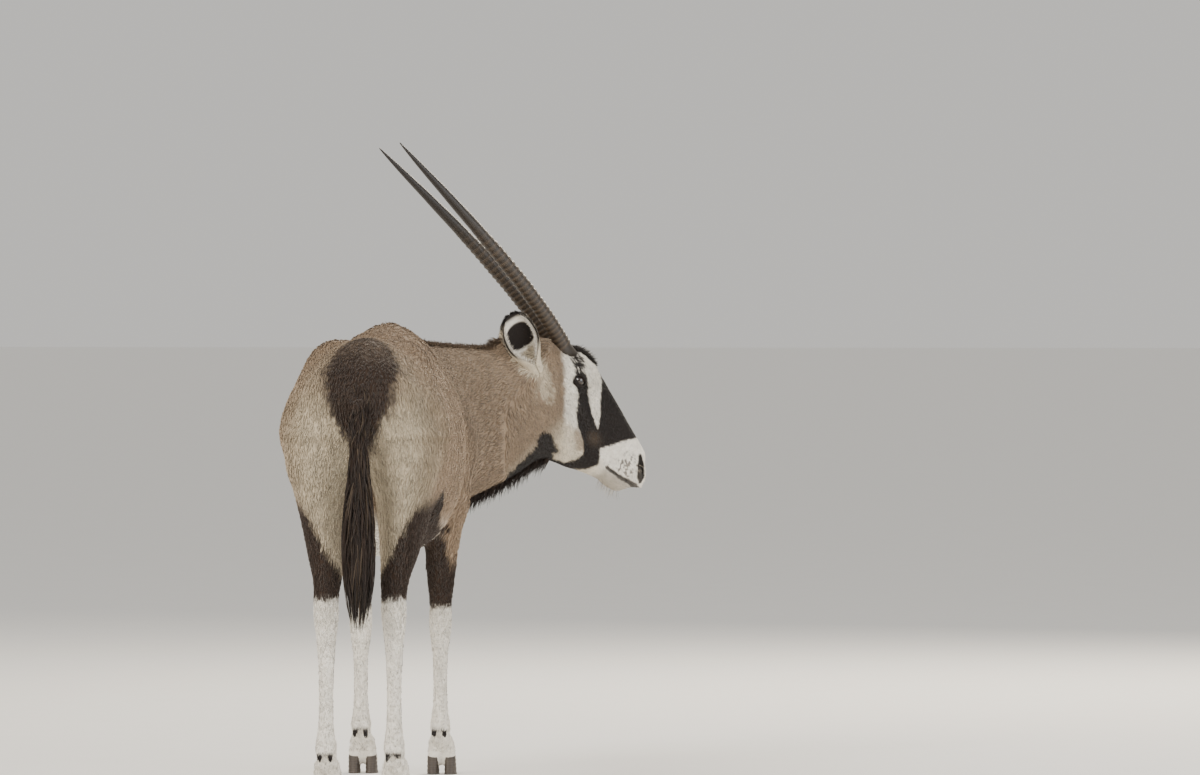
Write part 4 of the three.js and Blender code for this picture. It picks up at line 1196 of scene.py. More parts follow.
@dataclass
class Skin:
    """One closed skin over the whole animal, finest on the head."""

    body: Anatomy
    markings: Markings
    coarse: float = 25.5
    cell: float = 8.5
    fine: int = 2

    def grid(self) -> tuple[Array, Array]:
        """Polygons of the skin on an even grid.

        Returns:
            Places and four-cornered faces.
        """
        low = np.array([-260.0, -140.0, 20.0])
        high = np.array([640.0, 1880.0, 1230.0])
        counts = np.ceil((high - low) / self.coarse).astype(int)
        ratio = int(self.coarse / self.cell)
        middles = [low[i] + (np.arange(counts[i]) + 0.5) * self.coarse for i in range(3)]
        mesh = np.stack(np.meshgrid(*middles, indexing="ij"), axis=-1)
        rough = self.read(mesh.reshape(-1, 3)).reshape(counts)
        dense = np.repeat(np.repeat(np.repeat(np.clip(rough, -30, 30), ratio, 0), ratio, 1), ratio, 2)
        near = np.argwhere(np.abs(rough) < self.coarse * 2.2)
        inner = np.stack(np.meshgrid(*[np.arange(ratio)] * 3, indexing="ij"), axis=-1).reshape(-1, 3)
        index = (near[:, None, :] * ratio + inner[None]).reshape(-1, 3)
        values = self.read(low + (index + 0.5) * self.cell)
        dense[index[:, 0], index[:, 1], index[:, 2]] = values
        volume = vdb.FloatGrid(30.0)
        volume.copyFromArray(np.ascontiguousarray(dense.astype(np.float32)))
        points, quads = volume.convertToQuads(isovalue=0.0)
        return low + (points.astype(float) + 0.5) * self.cell, quads.astype(np.int64)

    def read(self, points: Array) -> Array:
        """Distances to the skin, read in chunks."""
        size = 150000
        return np.concatenate([self.body.skin(points[i:i + size]) for i in range(0, len(points), size)])

    def settle_on(self, points: Array, rounds: int) -> Array:
        """Moves places onto the skin's exact surface."""
        reach = 0.5
        for _ in range(rounds):
            values = [self.read(points + corner * reach) for corner in TETRA]
            slope = sum(corner * value[:, None] for corner, value in zip(TETRA, values)) / (4 * reach)
            middle = sum(values) / 4
            size = np.maximum((slope * slope).sum(axis=1, keepdims=True), 0.3)
            move = np.clip(middle, -6, 6)[:, None] * slope / size
            points = points - move * 0.9
        return points

    def zones(self, points: Array) -> list[Array]:
        """Where the skin is made finer: first the head, then the eyes, muzzle and ear roots."""
        local = self.body.head_local(points)
        on_head = (local[:, 1] > -80) & (points[:, 0] > 240) & (np.abs(local[:, 0]) < 120)
        eye = np.linalg.norm(np.abs(local) - np.array(self.body.eye), axis=1)
        detail = (eye < 40) | (local[:, 1] > 268)
        return [on_head, on_head & detail]

    def build(self, material: Material) -> Piece:
        """Builds the skin.

        Args:
            material: Its finish.

        Returns:
            The piece.
        """
        points, quads = self.grid()
        points = self.settle_on(points, 3)
        mesh = bpy.data.meshes.new("skin_grid")
        mesh.from_pydata(points.tolist(), [], quads.tolist())
        shape = bmesh.new()
        shape.from_mesh(mesh)
        for level in range(self.fine):
            shape.verts.ensure_lookup_table()
            places = np.array([vert.co[:] for vert in shape.verts])
            chosen = self.zones(places)[level]
            edges = [edge for edge in shape.edges if chosen[edge.verts[0].index] and chosen[edge.verts[1].index]]
            bmesh.ops.subdivide_edges(shape, edges=edges, cuts=1, use_grid_fill=True, smooth=0.0)
            shape.verts.index_update()
            places = np.array([vert.co[:] for vert in shape.verts])
            chosen = self.zones(places)[level]
            places[chosen] = self.settle_on(places[chosen], 2)
            for vert, place in zip(shape.verts, places):
                vert.co = place
        bmesh.ops.triangulate(shape, faces=shape.faces[:])
        bmesh.ops.recalc_face_normals(shape, faces=shape.faces[:])
        shape.to_mesh(mesh)
        shape.free()
        self.points = three_each(mesh.vertices, "co", float)
        self.faces = three_each(mesh.polygons, "vertices", np.int32)
        self.normals = three_each(mesh.vertices, "normal", float)
        bpy.data.meshes.remove(mesh)
        tones = self.markings.colours(self.points, self.normals)
        return mesh_piece("skin", self.points, self.faces, tones, material)


class Part(Enum):
    """Parts of the coat, one piece each."""

    RUMP_RIGHT = "coat_rump_right"
    RUMP_LEFT = "coat_rump_left"
    FLANK_RIGHT = "coat_flank_right"
    FLANK_LEFT = "coat_flank_left"
    NECK = "coat_neck"
    HEAD_RIGHT = "coat_head_right"
    HEAD_LEFT = "coat_head_left"
    LEGS = "coat_legs"


@dataclass(frozen=True)
class TuftStyle:
    """Sizes of one part's tufts, in millimetres, and how far their tips stand off the skin."""

    count: int
    length: float
    width: float
    stand: float
    seed: int


@dataclass
class Coat:
    """Short hair over the skin, as flat tufts that follow the lie."""

    skin: Skin
    lie: Lie
    finish: FurFinish
    styles: dict[Part, TuftStyle] = field(default_factory=lambda: {
        Part.RUMP_RIGHT: TuftStyle(15700, 17, 3.1, 2.6, 101),
        Part.RUMP_LEFT: TuftStyle(15700, 17, 3.1, 2.6, 102),
        Part.FLANK_RIGHT: TuftStyle(15700, 19, 3.3, 2.8, 103),
        Part.FLANK_LEFT: TuftStyle(15700, 19, 3.3, 2.8, 104),
        Part.NECK: TuftStyle(17300, 21, 3.0, 3.2, 105),
        Part.HEAD_RIGHT: TuftStyle(15200, 8, 1.5, 1.2, 106),
        Part.HEAD_LEFT: TuftStyle(15200, 8, 1.5, 1.2, 107),
        Part.LEGS: TuftStyle(16000, 11, 2.2, 1.6, 108),
    })
    spare: float = 1.12

    def part_of(self, p: Array) -> Array:
        """Index of the part that each place belongs to."""
        x, y, z = p.T
        parts = list(Part)
        local = self.skin.body.head_local(p)
        right = x > 0
        index = np.where(right, parts.index(Part.FLANK_RIGHT), parts.index(Part.FLANK_LEFT))
        rump = np.where(right, parts.index(Part.RUMP_RIGHT), parts.index(Part.RUMP_LEFT))
        index = np.where(y < 470, rump, index)
        index = np.where(y > 1240, parts.index(Part.NECK), index)
        index = np.where(z < 540, parts.index(Part.LEGS), index)
        on_head = (local[:, 1] + 0.35 * local[:, 2] > -45) & (x > 250)
        head = np.where(local[:, 0] > 0, parts.index(Part.HEAD_RIGHT), parts.index(Part.HEAD_LEFT))
        return np.where(on_head, head, index)

    def bald(self, p: Array) -> Array:
        """Places that carry no tufts: eyes, nostrils, lips and hooves."""
        x, _, z = p.T
        local = self.skin.body.head_local(p)
        side, along, up = np.abs(local[:, 0]), local[:, 1], local[:, 2]
        eye = np.linalg.norm(columns(side, along, up) - self.skin.body.eye, axis=1)
        nostril = line_gap(along, up, ((330, 37, 6.5), (347, 20, 13.5), (367, -1, 12.5)))
        lips = line_gap(along, up, tuple((a, u, 2.4) for a, u in self.skin.body.mouth))
        on_head = (along > -60) & (x > 250)
        return (on_head & ((eye < 21.5) | (nostril < 0) | (lips < 0))) | (z < 62)

    def spots(self, p: Array, part: Part) -> Array:
        """Places on the bake map: round the part, and along it.

        Args:
            p: Roots of the tufts.
            part: The part that they are on.

        Returns:
            Map places from 0 to 1.
        """
        local = self.skin.body.head_local(p)
        share, side, _ = self.skin.body.neck_local(p)
        if part in (Part.HEAD_RIGHT, Part.HEAD_LEFT):
            around = np.arctan2(local[:, 0], local[:, 2] + 30)
            along = local[:, 1]
        elif part is Part.NECK:
            around = np.arctan2(side, p[:, 2] - 900)
            along = share * 600 + np.where(share <= 0, (p[:, 1] - 1180), 0)
        elif part is Part.LEGS:
            x = np.abs(p[:, 0]) - np.where(p[:, 1] < 640, 84, 106)
            y = p[:, 1] - np.where(p[:, 1] < 640, 92, 1185)
            quarter = (p[:, 0] > 0) * 1 + (p[:, 1] > 640) * 2
            around = np.arctan2(x, y) / 4.2 + quarter * 1.6
            along = p[:, 2]
        else:
            around = np.arctan2(p[:, 0], p[:, 2] - 880)
            along = p[:, 1] - p[:, 2] * (part in (Part.RUMP_RIGHT, Part.RUMP_LEFT)) * 0.4
        return on_map(columns(around, along))

    def build(self) -> list[Piece]:
        """Builds every part of the coat.

        Returns:
            The pieces.
        """
        skin = self.skin
        corners = skin.points[skin.faces]
        sides = corners[:, 1:] - corners[:, :1]
        area = np.linalg.norm(np.cross(sides[:, 0], sides[:, 1]), axis=1) / 2
        owner = self.part_of(corners.mean(axis=1))
        material = self.finish.material()
        pieces = []
        for index, part in enumerate(Part):
            style = self.styles[part]
            rng = np.random.default_rng(style.seed)
            own = np.flatnonzero(owner == index)
            drawn = rng.random(int(style.count * self.spare)) * area[own].sum()
            pick = own[np.searchsorted(np.cumsum(area[own]), drawn)]
            mix = rng.dirichlet((1, 1, 1), len(pick))
            root = (skin.points[skin.faces[pick]] * mix[..., None]).sum(axis=1)
            normal = unit((skin.normals[skin.faces[pick]] * mix[..., None]).sum(axis=1))
            keep = np.flatnonzero(~self.bald(root))[:style.count]
            root, normal = root[keep], normal[keep]
            pieces.append(self.tufts(part, style, rng, root, normal, material))
        return pieces

    def tufts(self, part: Part, style: TuftStyle, rng: np.random.Generator, root: Array,
              normal: Array, material: Material) -> Piece:
        """Builds one part's tufts on their roots."""
        body = self.skin.body
        count = len(root)
        way = self.lie.directions(root, normal)
        across = np.cross(normal, way)
        turn = rng.normal(0, 0.2, (count, 1))
        way = unit(way + across * turn)
        across = np.cross(normal, way)
        size = rng.uniform(0.72, 1.28, (count, 1))
        if part in (Part.HEAD_RIGHT, Part.HEAD_LEFT):
            along = body.head_local(root)[:, 1:2]
            size = size * (1.45 - 0.95 * step(0, 300, along))
        if part is Part.LEGS:
            size = size * (0.75 + 0.4 * step(300, 540, root[:, 2:3]))
        length = style.length * size
        stand = style.stand * size * rng.uniform(0.5, 1.25, (count, 1))
        spine = columns(
            root - normal * 0.8,
            root + way * length * 0.5 + normal * stand * 0.75,
            root + way * length + normal * stand * 0.55)
        wide = style.width * np.sqrt(size) * rng.uniform(0.8, 1.2, (count, 1))
        widths = np.concatenate([wide * 0.75, wide, wide * 0.0], axis=1)
        tone = self.skin.markings.colours(root, normal) * rng.uniform(0.86, 1.12, (count, 1))
        fleck = rng.random((count, 1))
        tone = tone * np.where(fleck < 0.10, 0.62, 1.0)
        tip = tone * rng.uniform(0.95, 1.32, (count, 1)) + 0.006
        piece = blades(part.value, spine, np.repeat(across[:, None], 3, axis=1), widths, 0.3, tone,
                       self.spots(root, part), np.clip(tip, 0, 1), material)
        return settle(piece, "face" if "head" in part.value else "legs" if part is Part.LEGS else "coat")


@dataclass
class LongHair:
    """Locks of long hair: mane, throat fringe, forelock and tail."""

    tail_heights = (380, 400, 430, 480, 550, 598, 645, 693, 740, 787, 863, 926, 1045)
    tail_widths = (6, 11, 19, 29, 39, 42, 43, 41, 36, 30, 23, 28, 31)

    body: Anatomy
    palette: Palette
    finish: Material
    thick: float = 0.35

    def piece(self, name: str, roots: Array, ways: Array, outs: Array, lengths: Array,
              width: float, droop: float, tone: Array, tip: Array, place: Array, seed: int,
              stations: int = 6, sunk: float = 3) -> Piece:
        """Builds locks that leave the skin, bend over and hang.

        Args:
            name: The piece's name.
            roots: Where each lock starts.
            ways: The way that each lies.
            outs: Outward directions at the roots.
            lengths: Length of each lock.
            width: Width of a lock at its widest.
            droop: How much a lock gives to gravity.
            tone: Colour near the roots, for each lock.
            tip: Colour at the tips, for each lock.
            place: Place of each root on its own part, along and around.
            seed: Seeds the variation.
            stations: How many places each lock is drawn through.
            sunk: Depth of the roots under the skin.

        Returns:
            The piece.
        """
        rng = np.random.default_rng(seed)
        count = len(roots)
        t = np.linspace(0, 1, stations)[None, :, None]
        bend = rng.normal(0, 0.12, (count, 1, 3))
        size = lengths[:, None, None]
        spine = roots[:, None] - outs[:, None] * sunk + (ways[:, None] + bend * t) * size * t
        wave = np.sin(t * rng.uniform(2, 5, (count, 1, 1)) + rng.uniform(0, 6, (count, 1, 1)))
        across = unit(np.cross(outs, ways) + rng.normal(0, 0.25, (count, 3)))
        spine = spine + across[:, None] * wave * size * 0.035 * t
        spine[..., 2] -= droop * (size * t ** 2)[..., 0]
        shape = np.array([0.55, 1.0, 0.95, 0.8, 0.55, 0.0])
        profile = np.interp(np.linspace(0, 1, stations), np.linspace(0, 1, len(shape)), shape)
        widths = width * rng.uniform(0.6, 1.3, (count, 1)) * profile[None]
        return self.drawn(name, spine, np.repeat(across[:, None], stations, axis=1), widths, tone, tip, place)

    def drawn(self, name: str, spine: Array, across: Array, widths: Array, tone: Array,
              tip: Array, place: Array) -> Piece:
        """Builds locks whose middle lines are known, with the finish of long hair."""
        return blades(name, spine, across, widths, self.thick, tone, on_map(place), tip, self.finish)

    def shades(self, tone: Array, count: int, rng: np.random.Generator, spread: float = 0.25) -> Array:
        """One varied tone for each lock."""
        return np.clip(tone[None] * rng.uniform(1 - spread, 1 + spread, (count, 1)), 0, 1)

    def crest(self, share: Array, side: Array) -> tuple[Array, Array]:
        """Places and outward directions along the top of the neck."""
        place, heading = self.body.plan(np.clip(share, 0, 1))
        right = columns(heading[:, 1], -heading[:, 0])
        place[:, 0] -= self.body.aside * (1 - step(1240, 1420, place[:, 1]))
        start = np.concatenate([place + right * side[:, None], np.full((len(share), 1), 1260.0)], axis=1)
        start = self.body.landed(start, np.array([0.0, 0.0, -1.0]), 26)
        return start, self.body.normals(start)

    def mane(self) -> Piece:
        """The short upright mane from the withers to the poll."""
        rng = np.random.default_rng(201)
        count = 2600
        share = rng.uniform(0.02, 0.95, count)
        side = rng.normal(0, 6.5, count)
        roots, outs = self.crest(share, side)
        _, heading = self.body.plan(np.clip(share, 0, 1))
        back = np.concatenate([-heading, np.zeros((count, 1))], axis=1)
        sideways = np.concatenate([heading[:, 1:], -heading[:, :1], np.zeros((count, 1))], axis=1)
        ways = unit(outs * 0.75 + back * rng.uniform(0.5, 1.1, (count, 1)) + sideways * side[:, None] * 0.045)
        lengths = rng.uniform(11, 22, count) * (0.5 + 0.5 * step(0.0, 0.2, share))
        tone = self.shades(self.palette.neck, count, rng)
        tip = self.shades(self.palette.dark, count, rng)
        return self.piece("mane", roots, ways, outs, lengths, 2.6, 0.05, tone, tip, columns(share, side), 202, 5)

    def fringe(self) -> Piece:
        """The black fringe under the throat and neck."""
        rng = np.random.default_rng(211)
        count = 2000
        share = rng.uniform(0.03, 1.02, count)
        side = rng.normal(0, 8.5, count)
        inside = np.clip(share, 0, 1)
        place, heading = self.body.plan(inside)
        place = place + heading * (share - inside)[:, None] * 600
        right = columns(heading[:, 1], -heading[:, 0])
        roots = np.concatenate([place + right * side[:, None], np.full((count, 1), 520.0)], axis=1)
        roots = self.body.landed(roots, np.array([0.0, 0.0, 1.0]), 26)
        outs = self.body.normals(roots)
        back = np.concatenate([-heading, np.zeros((count, 1))], axis=1)
        ways = unit(outs * 0.55 + back * rng.uniform(0.4, 0.9, (count, 1)) + [0, 0, -0.35])
        lengths = rng.uniform(22, 44, count) * (0.6 + 0.4 * step(0.0, 0.2, share))
        tone = self.shades(self.palette.dark, count, rng)
        tip = self.shades(self.palette.black, count, rng)
        return self.piece("throat_fringe", roots, ways, outs, lengths, 2.6, 0.18, tone, tip,
                          columns(share, side), 212, 5)

    def forelock(self) -> Piece:
        """The dark tuft on the forehead, in front of the horns."""
        rng = np.random.default_rng(215)
        count = 1300
        along = rng.uniform(-14, 78, count)
        wide = np.interp(along, [-14, 20, 60, 78], [28, 26, 15, 6])
        side = rng.uniform(-1, 1, count) * wide
        roots = self.body.head_point(columns(side, along, np.full(count, 150.0)))
        roots = self.body.landed(roots, -self.body.head_up, 20, shape="head")
        outs = self.body.normals(roots, "head")
        ways = unit(self.body.head_vector(0, 0.62, 0.6) + outs * 0.3 + rng.normal(0, 0.12, (count, 3)))
        lengths = rng.uniform(13, 25, count) * (1.1 - 0.6 * step(25, 80, along))
        tone = self.shades(self.palette.black, count, rng)
        return self.piece("forelock", roots, ways, outs, lengths, 1.8, 0.05, tone, tone * 1.3,
                          columns(along, side), 216, 5)

    def whiskers(self) -> Piece:
        """Fine stiff hairs on the chin and lips."""
        rng = np.random.default_rng(217)
        count = 150
        along = rng.uniform(296, 358, count)
        low = rng.random(count) < 0.6
        up = np.where(low, -90.0, rng.uniform(-30, 20, count))
        side = np.where(low, rng.uniform(-22, 22, count), np.sign(rng.random(count) - 0.5) * 70)
        target = self.body.head_point(columns(np.zeros(count), along, np.where(low, -40.0, up)))
        roots = self.body.head_point(columns(side, along, up))
        roots = self.body.landed(roots, unit(target - roots), 24, 0.8, "head")
        outs = self.body.normals(roots, "head")
        ways = unit(outs + self.body.head_vector(0, 0.35, -0.2) + rng.normal(0, 0.18, (count, 3)))
        lengths = rng.uniform(12, 30, count)
        tone = self.shades(self.palette.cream, count, rng)
        tone = np.where((rng.random(count) < 0.4)[:, None], self.palette.dark, tone)
        return self.piece("whiskers", roots, ways, outs, lengths, 0.5, 0.15, tone, tone,
                          columns(along, side), 218, 5)

    def tail(self) -> Piece:
        """The tail's long dark hair, which spreads from the dock and draws in to the tip."""
        rng = np.random.default_rng(221)
        count, stations = 2600, 9
        start = 1040 - rng.beta(1.1, 1.0, count) * 370
        turn = rng.uniform(0, 2 * math.pi, count)[:, None]
        turn = turn + rng.normal(0, 0.5, (count, 1)) * np.linspace(0, 1, stations)
        long = np.interp(start, [670, 760, 850, 930, 1040], [265, 270, 150, 62, 40])
        long = long * rng.uniform(0.6, 1.0, count)
        t = np.linspace(0, 1, stations)[None]
        height = start[:, None] - long[:, None] * t
        full = np.interp(height, self.tail_heights, self.tail_widths)
        root = np.interp(start, [668, 700, 860, 960, 1045], [3, 8, 14, 20, 24])[:, None]
        spread = np.sqrt(rng.uniform(0.12, 1.0, (count, 1)))
        radius = root * 0.9 + (full * spread - root * 0.9) * step(0.0, 0.55, t * np.ones((count, 1)))
        middle = np.interp(height, TailDock.heights, TailDock.middles)
        aside = np.interp(height, TailDock.heights, TailDock.asides)
        out = np.stack([np.cos(turn), np.sin(turn), np.zeros_like(turn)], axis=-1)
        spine = np.stack([aside, middle, height], axis=-1) + radius[..., None] * out * [1, 0.86, 0]
        across = unit(np.cross(out, [0.0, 0.0, -1.0]) + rng.normal(0, 0.35, (count, 1, 3)))
        profile = np.interp(np.linspace(0, 1, stations), [0, 0.2, 0.7, 0.9, 1], [0.6, 1, 0.85, 0.5, 0])
        widths = 3.6 * rng.uniform(0.55, 1.3, (count, 1)) * profile[None]
        tone = self.shades(self.palette.dark, count, rng, 0.4)
        tip = self.shades(self.palette.black, count, rng, 0.35)
        # About one lock in six is painted lighter brown, as painted highlight along the dark hair.
        streak = (rng.random(count) < 0.16)[:, None]
        tone = np.where(streak, self.palette.back * 0.3, tone)
        tip = np.where(streak, self.palette.back * 0.25, tip)
        return self.drawn("tail_hair", spine, across, widths, tone, np.clip(tip, 0, 1),
                          columns(turn[:, 0], start))


@dataclass
class TailDock:
    """The fleshy core of the tail, under its hair."""

    heights = (690, 880, 960, 1000, 1020, 1045, 1060)
    middles = (-42, -40, -28, -6, 10, 36, 50)
    asides = (8, 8, 8, 6, 4, 0, 0)

    body: Anatomy
    palette: Palette

    def build(self, material: Material) -> Piece:
        """Builds the dock as one closed tapered form.

        Args:
            material: Its finish.

        Returns:
            The piece.
        """
        height = np.linspace(1060, 668, 24)[:, None]
        turn = np.linspace(0, 2 * math.pi, 20, endpoint=False)[None]
        radius = np.interp(height, [668, 700, 860, 960, 1045, 1060], [2.5, 7, 13, 19, 20, 14])
        x = np.interp(height, self.heights, self.asides) + radius * np.cos(turn)
        y = np.interp(height, self.heights, self.middles) + radius * np.sin(turn)
        rings = np.stack([x, y, height + 0 * turn], axis=-1)
        points, faces = closed_tube(rings, rings[0].mean(axis=0), rings[-1].mean(axis=0))
        tone = np.repeat(self.palette.dark[None], len(points), axis=0)
        return mesh_piece("tail_dock_core", points, faces, tone, material)


@dataclass
class Horns:
    """Two long, almost straight horns, ringed over the lower part."""

    body: Anatomy
    palette: Palette
    side: float = 33
    back: float = -33
    height: float = 1095
    tips: dict[Side, Place] = field(default_factory=lambda: {
        Side.RIGHT: (-504, 60, 1630), Side.LEFT: (-513, -60, 1617),
    })
    radii: Rows = (
        (0, 22.0), (0.07, 19.6), (0.29, 18.8), (0.51, 16.2), (0.715, 12.0), (0.887, 7.0), (0.95, 4.3), (1, 1.5),
    )
    bow: float = 22
    bow_share: float = 0.35
    rings: int = 27
    ringed: float = 0.6

    def line(self, side: Side) -> tuple[Array, Array, float, Array, Array]:
        """Start, direction, length and the two cross directions of a horn."""
        start = self.body.head_level_point(self.back, side.value * self.side, self.height)
        end = self.body.head_level_point(*self.tips[side])
        length = float(np.linalg.norm(end - start))
        axis = (end - start) / length
        rear = unit(np.cross(self.body.head_right, axis)[None])[0]
        return start, axis, length, rear, np.cross(axis, rear)

    def ring_height(self, share: Array) -> Array:
        """Height of the rings at a share of the horn, from 0 to 1 at a crest."""
        way = np.clip(share / self.ringed, 0, 1)
        phase = self.rings * (way * 1.28 - 0.28 * way * way)
        saw = phase - np.floor(phase)
        crest = np.where(saw < 0.72, (saw / 0.72) ** 1.6, 1 - (saw - 0.72) / 0.28)
        return crest * (share > 0) * (1 - step(0.72, 1.0, way) * 0.85) * (way < 1)

    def build(self, side: Side, material: Material) -> Piece:
        """Builds one horn.

        Args:
            side: Which horn.
            material: Its finish.

        Returns:
            The piece.
        """
        start, axis, length, rear, right = self.line(side)
        share = np.concatenate([[-0.045], np.linspace(0, self.ringed, 240), np.linspace(self.ringed, 1, 44)[1:]])
        sides = 36
        turn = np.linspace(0, 2 * math.pi, sides, endpoint=False)[None]
        inside = np.clip(share, 0, 1)[:, None]
        crest = self.ring_height(share)[:, None]
        plain = Table(self.radii).at(inside[:, 0])[:, 1:2]
        arch = self.bow * (inside / self.bow_share) ** 0.65 * ((1 - inside) / (1 - self.bow_share)) ** 1.2
        front = 0.75 + 0.25 * np.cos(2 * (turn - math.pi / 2))
        wobble = 1 + 0.012 * np.sin(3 * turn + share[:, None] * 40)
        size = (plain + crest * 2.3 * front - 0.5 * (share[:, None] < self.ringed)) * wobble
        centre = start + axis * (share * length)[:, None] - rear * arch
        sideways, rearward = np.cos(turn) * size, np.sin(turn) * size * 1.04
        points = centre[:, None] + right * sideways[..., None] + rear * rearward[..., None]
        flat, faces = closed_tube(points, centre[0], start + axis * (length + 3))
        low, high = from_screen(34, 28, 22), from_screen(78, 65, 51)
        mix = np.clip(crest * 0.75 + 0.12 * (1 - inside), 0, 1) * np.ones((1, sides))
        fade = step(0.5, 0.9, inside) * np.ones((1, sides))
        tone = paint(paint(low, high, mix), from_screen(30, 25, 22), fade)
        tone = np.concatenate([tone.reshape(-1, 3), np.repeat(low[None], 2, axis=0)])
        piece = mesh_piece(f"horn_{side.word}_ringed", flat, faces, tone, material)
        return settle(piece, "horn", f"horn_{side.word}")


@dataclass
class Eyes:
    """Eyeballs with a pupil, and lids with lashes round them."""

    body: Anatomy
    palette: Palette
    open_wide: float = 0.88
    open_high: float = 0.44

    def spot(self, side: Side, turn: Array, tilt: Array, radius: Array) -> Array:
        """Places round an eyeball: turn about its own axis, tilt from it, radius."""
        flat = radius * np.sin(tilt)
        place = [radius * np.cos(tilt), flat * np.cos(turn), flat * np.sin(turn)]
        local = (np.stack(place, axis=-1) + self.body.eye) * [side.value, 1, 1]
        return self.body.head_point(local.reshape(-1, 3)).reshape(local.shape)

    def ball(self, side: Side, material: Material) -> Piece:
        """The eyeball, with the clear front part bulging a little."""
        around, rows = 56, 40
        turn = np.linspace(0, 2 * math.pi, around, endpoint=False)[None] * np.ones((rows, 1))
        tilt = np.linspace(0.02, math.pi - 0.02, rows)[:, None] * np.ones((1, around))
        radius = self.body.eye_radius + 0.9 * (1 - step(0.3, 0.75, tilt)) - 0.9
        points = self.spot(side, turn, tilt, radius)
        level = np.hypot(np.sin(tilt) * np.cos(turn) * 0.99 / 0.30, np.sin(tilt) * np.sin(turn) / 0.17)
        pupil = 1 - step(0.9, 1.1, level)
        rim = step(0.52, 0.62, tilt)
        iris = from_screen(38, 23, 14)
        tone = paint(paint(iris, from_screen(12, 9, 7), rim), from_screen(6, 5, 6), pupil)
        ends = self.spot(side, np.zeros(2), np.array([0.0, math.pi]), np.full(2, self.body.eye_radius))
        flat, faces = closed_tube(points, *ends)
        tone = np.concatenate([tone.reshape(-1, 3), np.repeat(from_screen(6, 5, 6)[None], 2, axis=0)])
        piece = mesh_piece(f"eyeball_{side.word}", flat, faces, tone, material)
        return settle(piece, "eye", f"eye_{side.word}")

    def lids(self, side: Side, material: Material) -> Piece:
        """Upper and lower lid as one ring with a thick dark rim."""
        around = 84
        turn = np.linspace(0, 2 * math.pi, around, endpoint=False)
        upper = np.clip(np.sin(turn), 0, 1)
        edge = 1 / np.hypot(np.cos(turn) / self.open_wide, np.sin(turn) / self.open_high)
        edge = edge * (1 - 0.06 * upper)
        ball = self.body.eye_radius
        profile = [(0.0, 0.25), (0.0, 1.3), (0.025, 2.2), (0.09, 2.9), (0.2, 3.1), (0.32, 2.5), (0.42, 2.9),
                   (0.58, 3.0), (0.8, 2.2), (0.8, 0.2), (0.4, 0.25)]
        rings = []
        for tilt, rise in profile:
            thick = rise * (1 + 0.35 * upper * (tilt > 0.01))
            rings.append(self.spot(side, turn, edge + tilt, ball + thick))
        points = np.stack(rings, axis=1)
        sides = len(profile)
        i, k = np.meshgrid(np.arange(around), np.arange(sides), indexing="ij")
        a, b = i * sides + k, i * sides + (k + 1) % sides
        c, d = ((i + 1) % around) * sides + (k + 1) % sides, ((i + 1) % around) * sides + k
        faces = np.stack([a, b, c, a, c, d], axis=-1).reshape(-1, 3)
        flat = points.reshape(-1, 3)
        tone = np.repeat(self.palette.black[None], len(flat), axis=0)
        return settle(mesh_piece(f"lids_{side.word}", flat, outward(flat, faces), tone, material), "face")

    def lashes(self, hair: LongHair, side: Side) -> Piece:
        """Lashes along the upper lid."""
        rng = np.random.default_rng(231 + side.value)
        count = 90
        turn = rng.uniform(0.25, math.pi - 0.25, count)
        edge = 1 / np.hypot(np.cos(turn) / self.open_wide, np.sin(turn) / self.open_high)
        roots = self.spot(side, turn, edge + 0.04, np.full(count, self.body.eye_radius + 2.6))
        centre = self.body.head_point(np.array([self.body.eye]) * [side.value, 1, 1])
        outs = unit(roots - centre)
        ways = unit(outs + self.body.head_vector(0, 0.25, 0.1) + rng.normal(0, 0.12, (count, 3)))
        lengths = rng.uniform(7, 12, count)
        tone = hair.shades(self.palette.black, count, rng)
        return hair.piece(f"lashes_{side.word}", roots, ways, outs, lengths, 0.55, 0.25, tone, tone,
                          columns(turn, lengths), 233, 5)


@dataclass(frozen=True)
class EarPose:
    """How an ear is held: its root, its reach (ahead, out, up) and the way it opens (out, ahead)."""

    ahead: float
    height: float
    reach: Place
    opening: tuple[float, float]


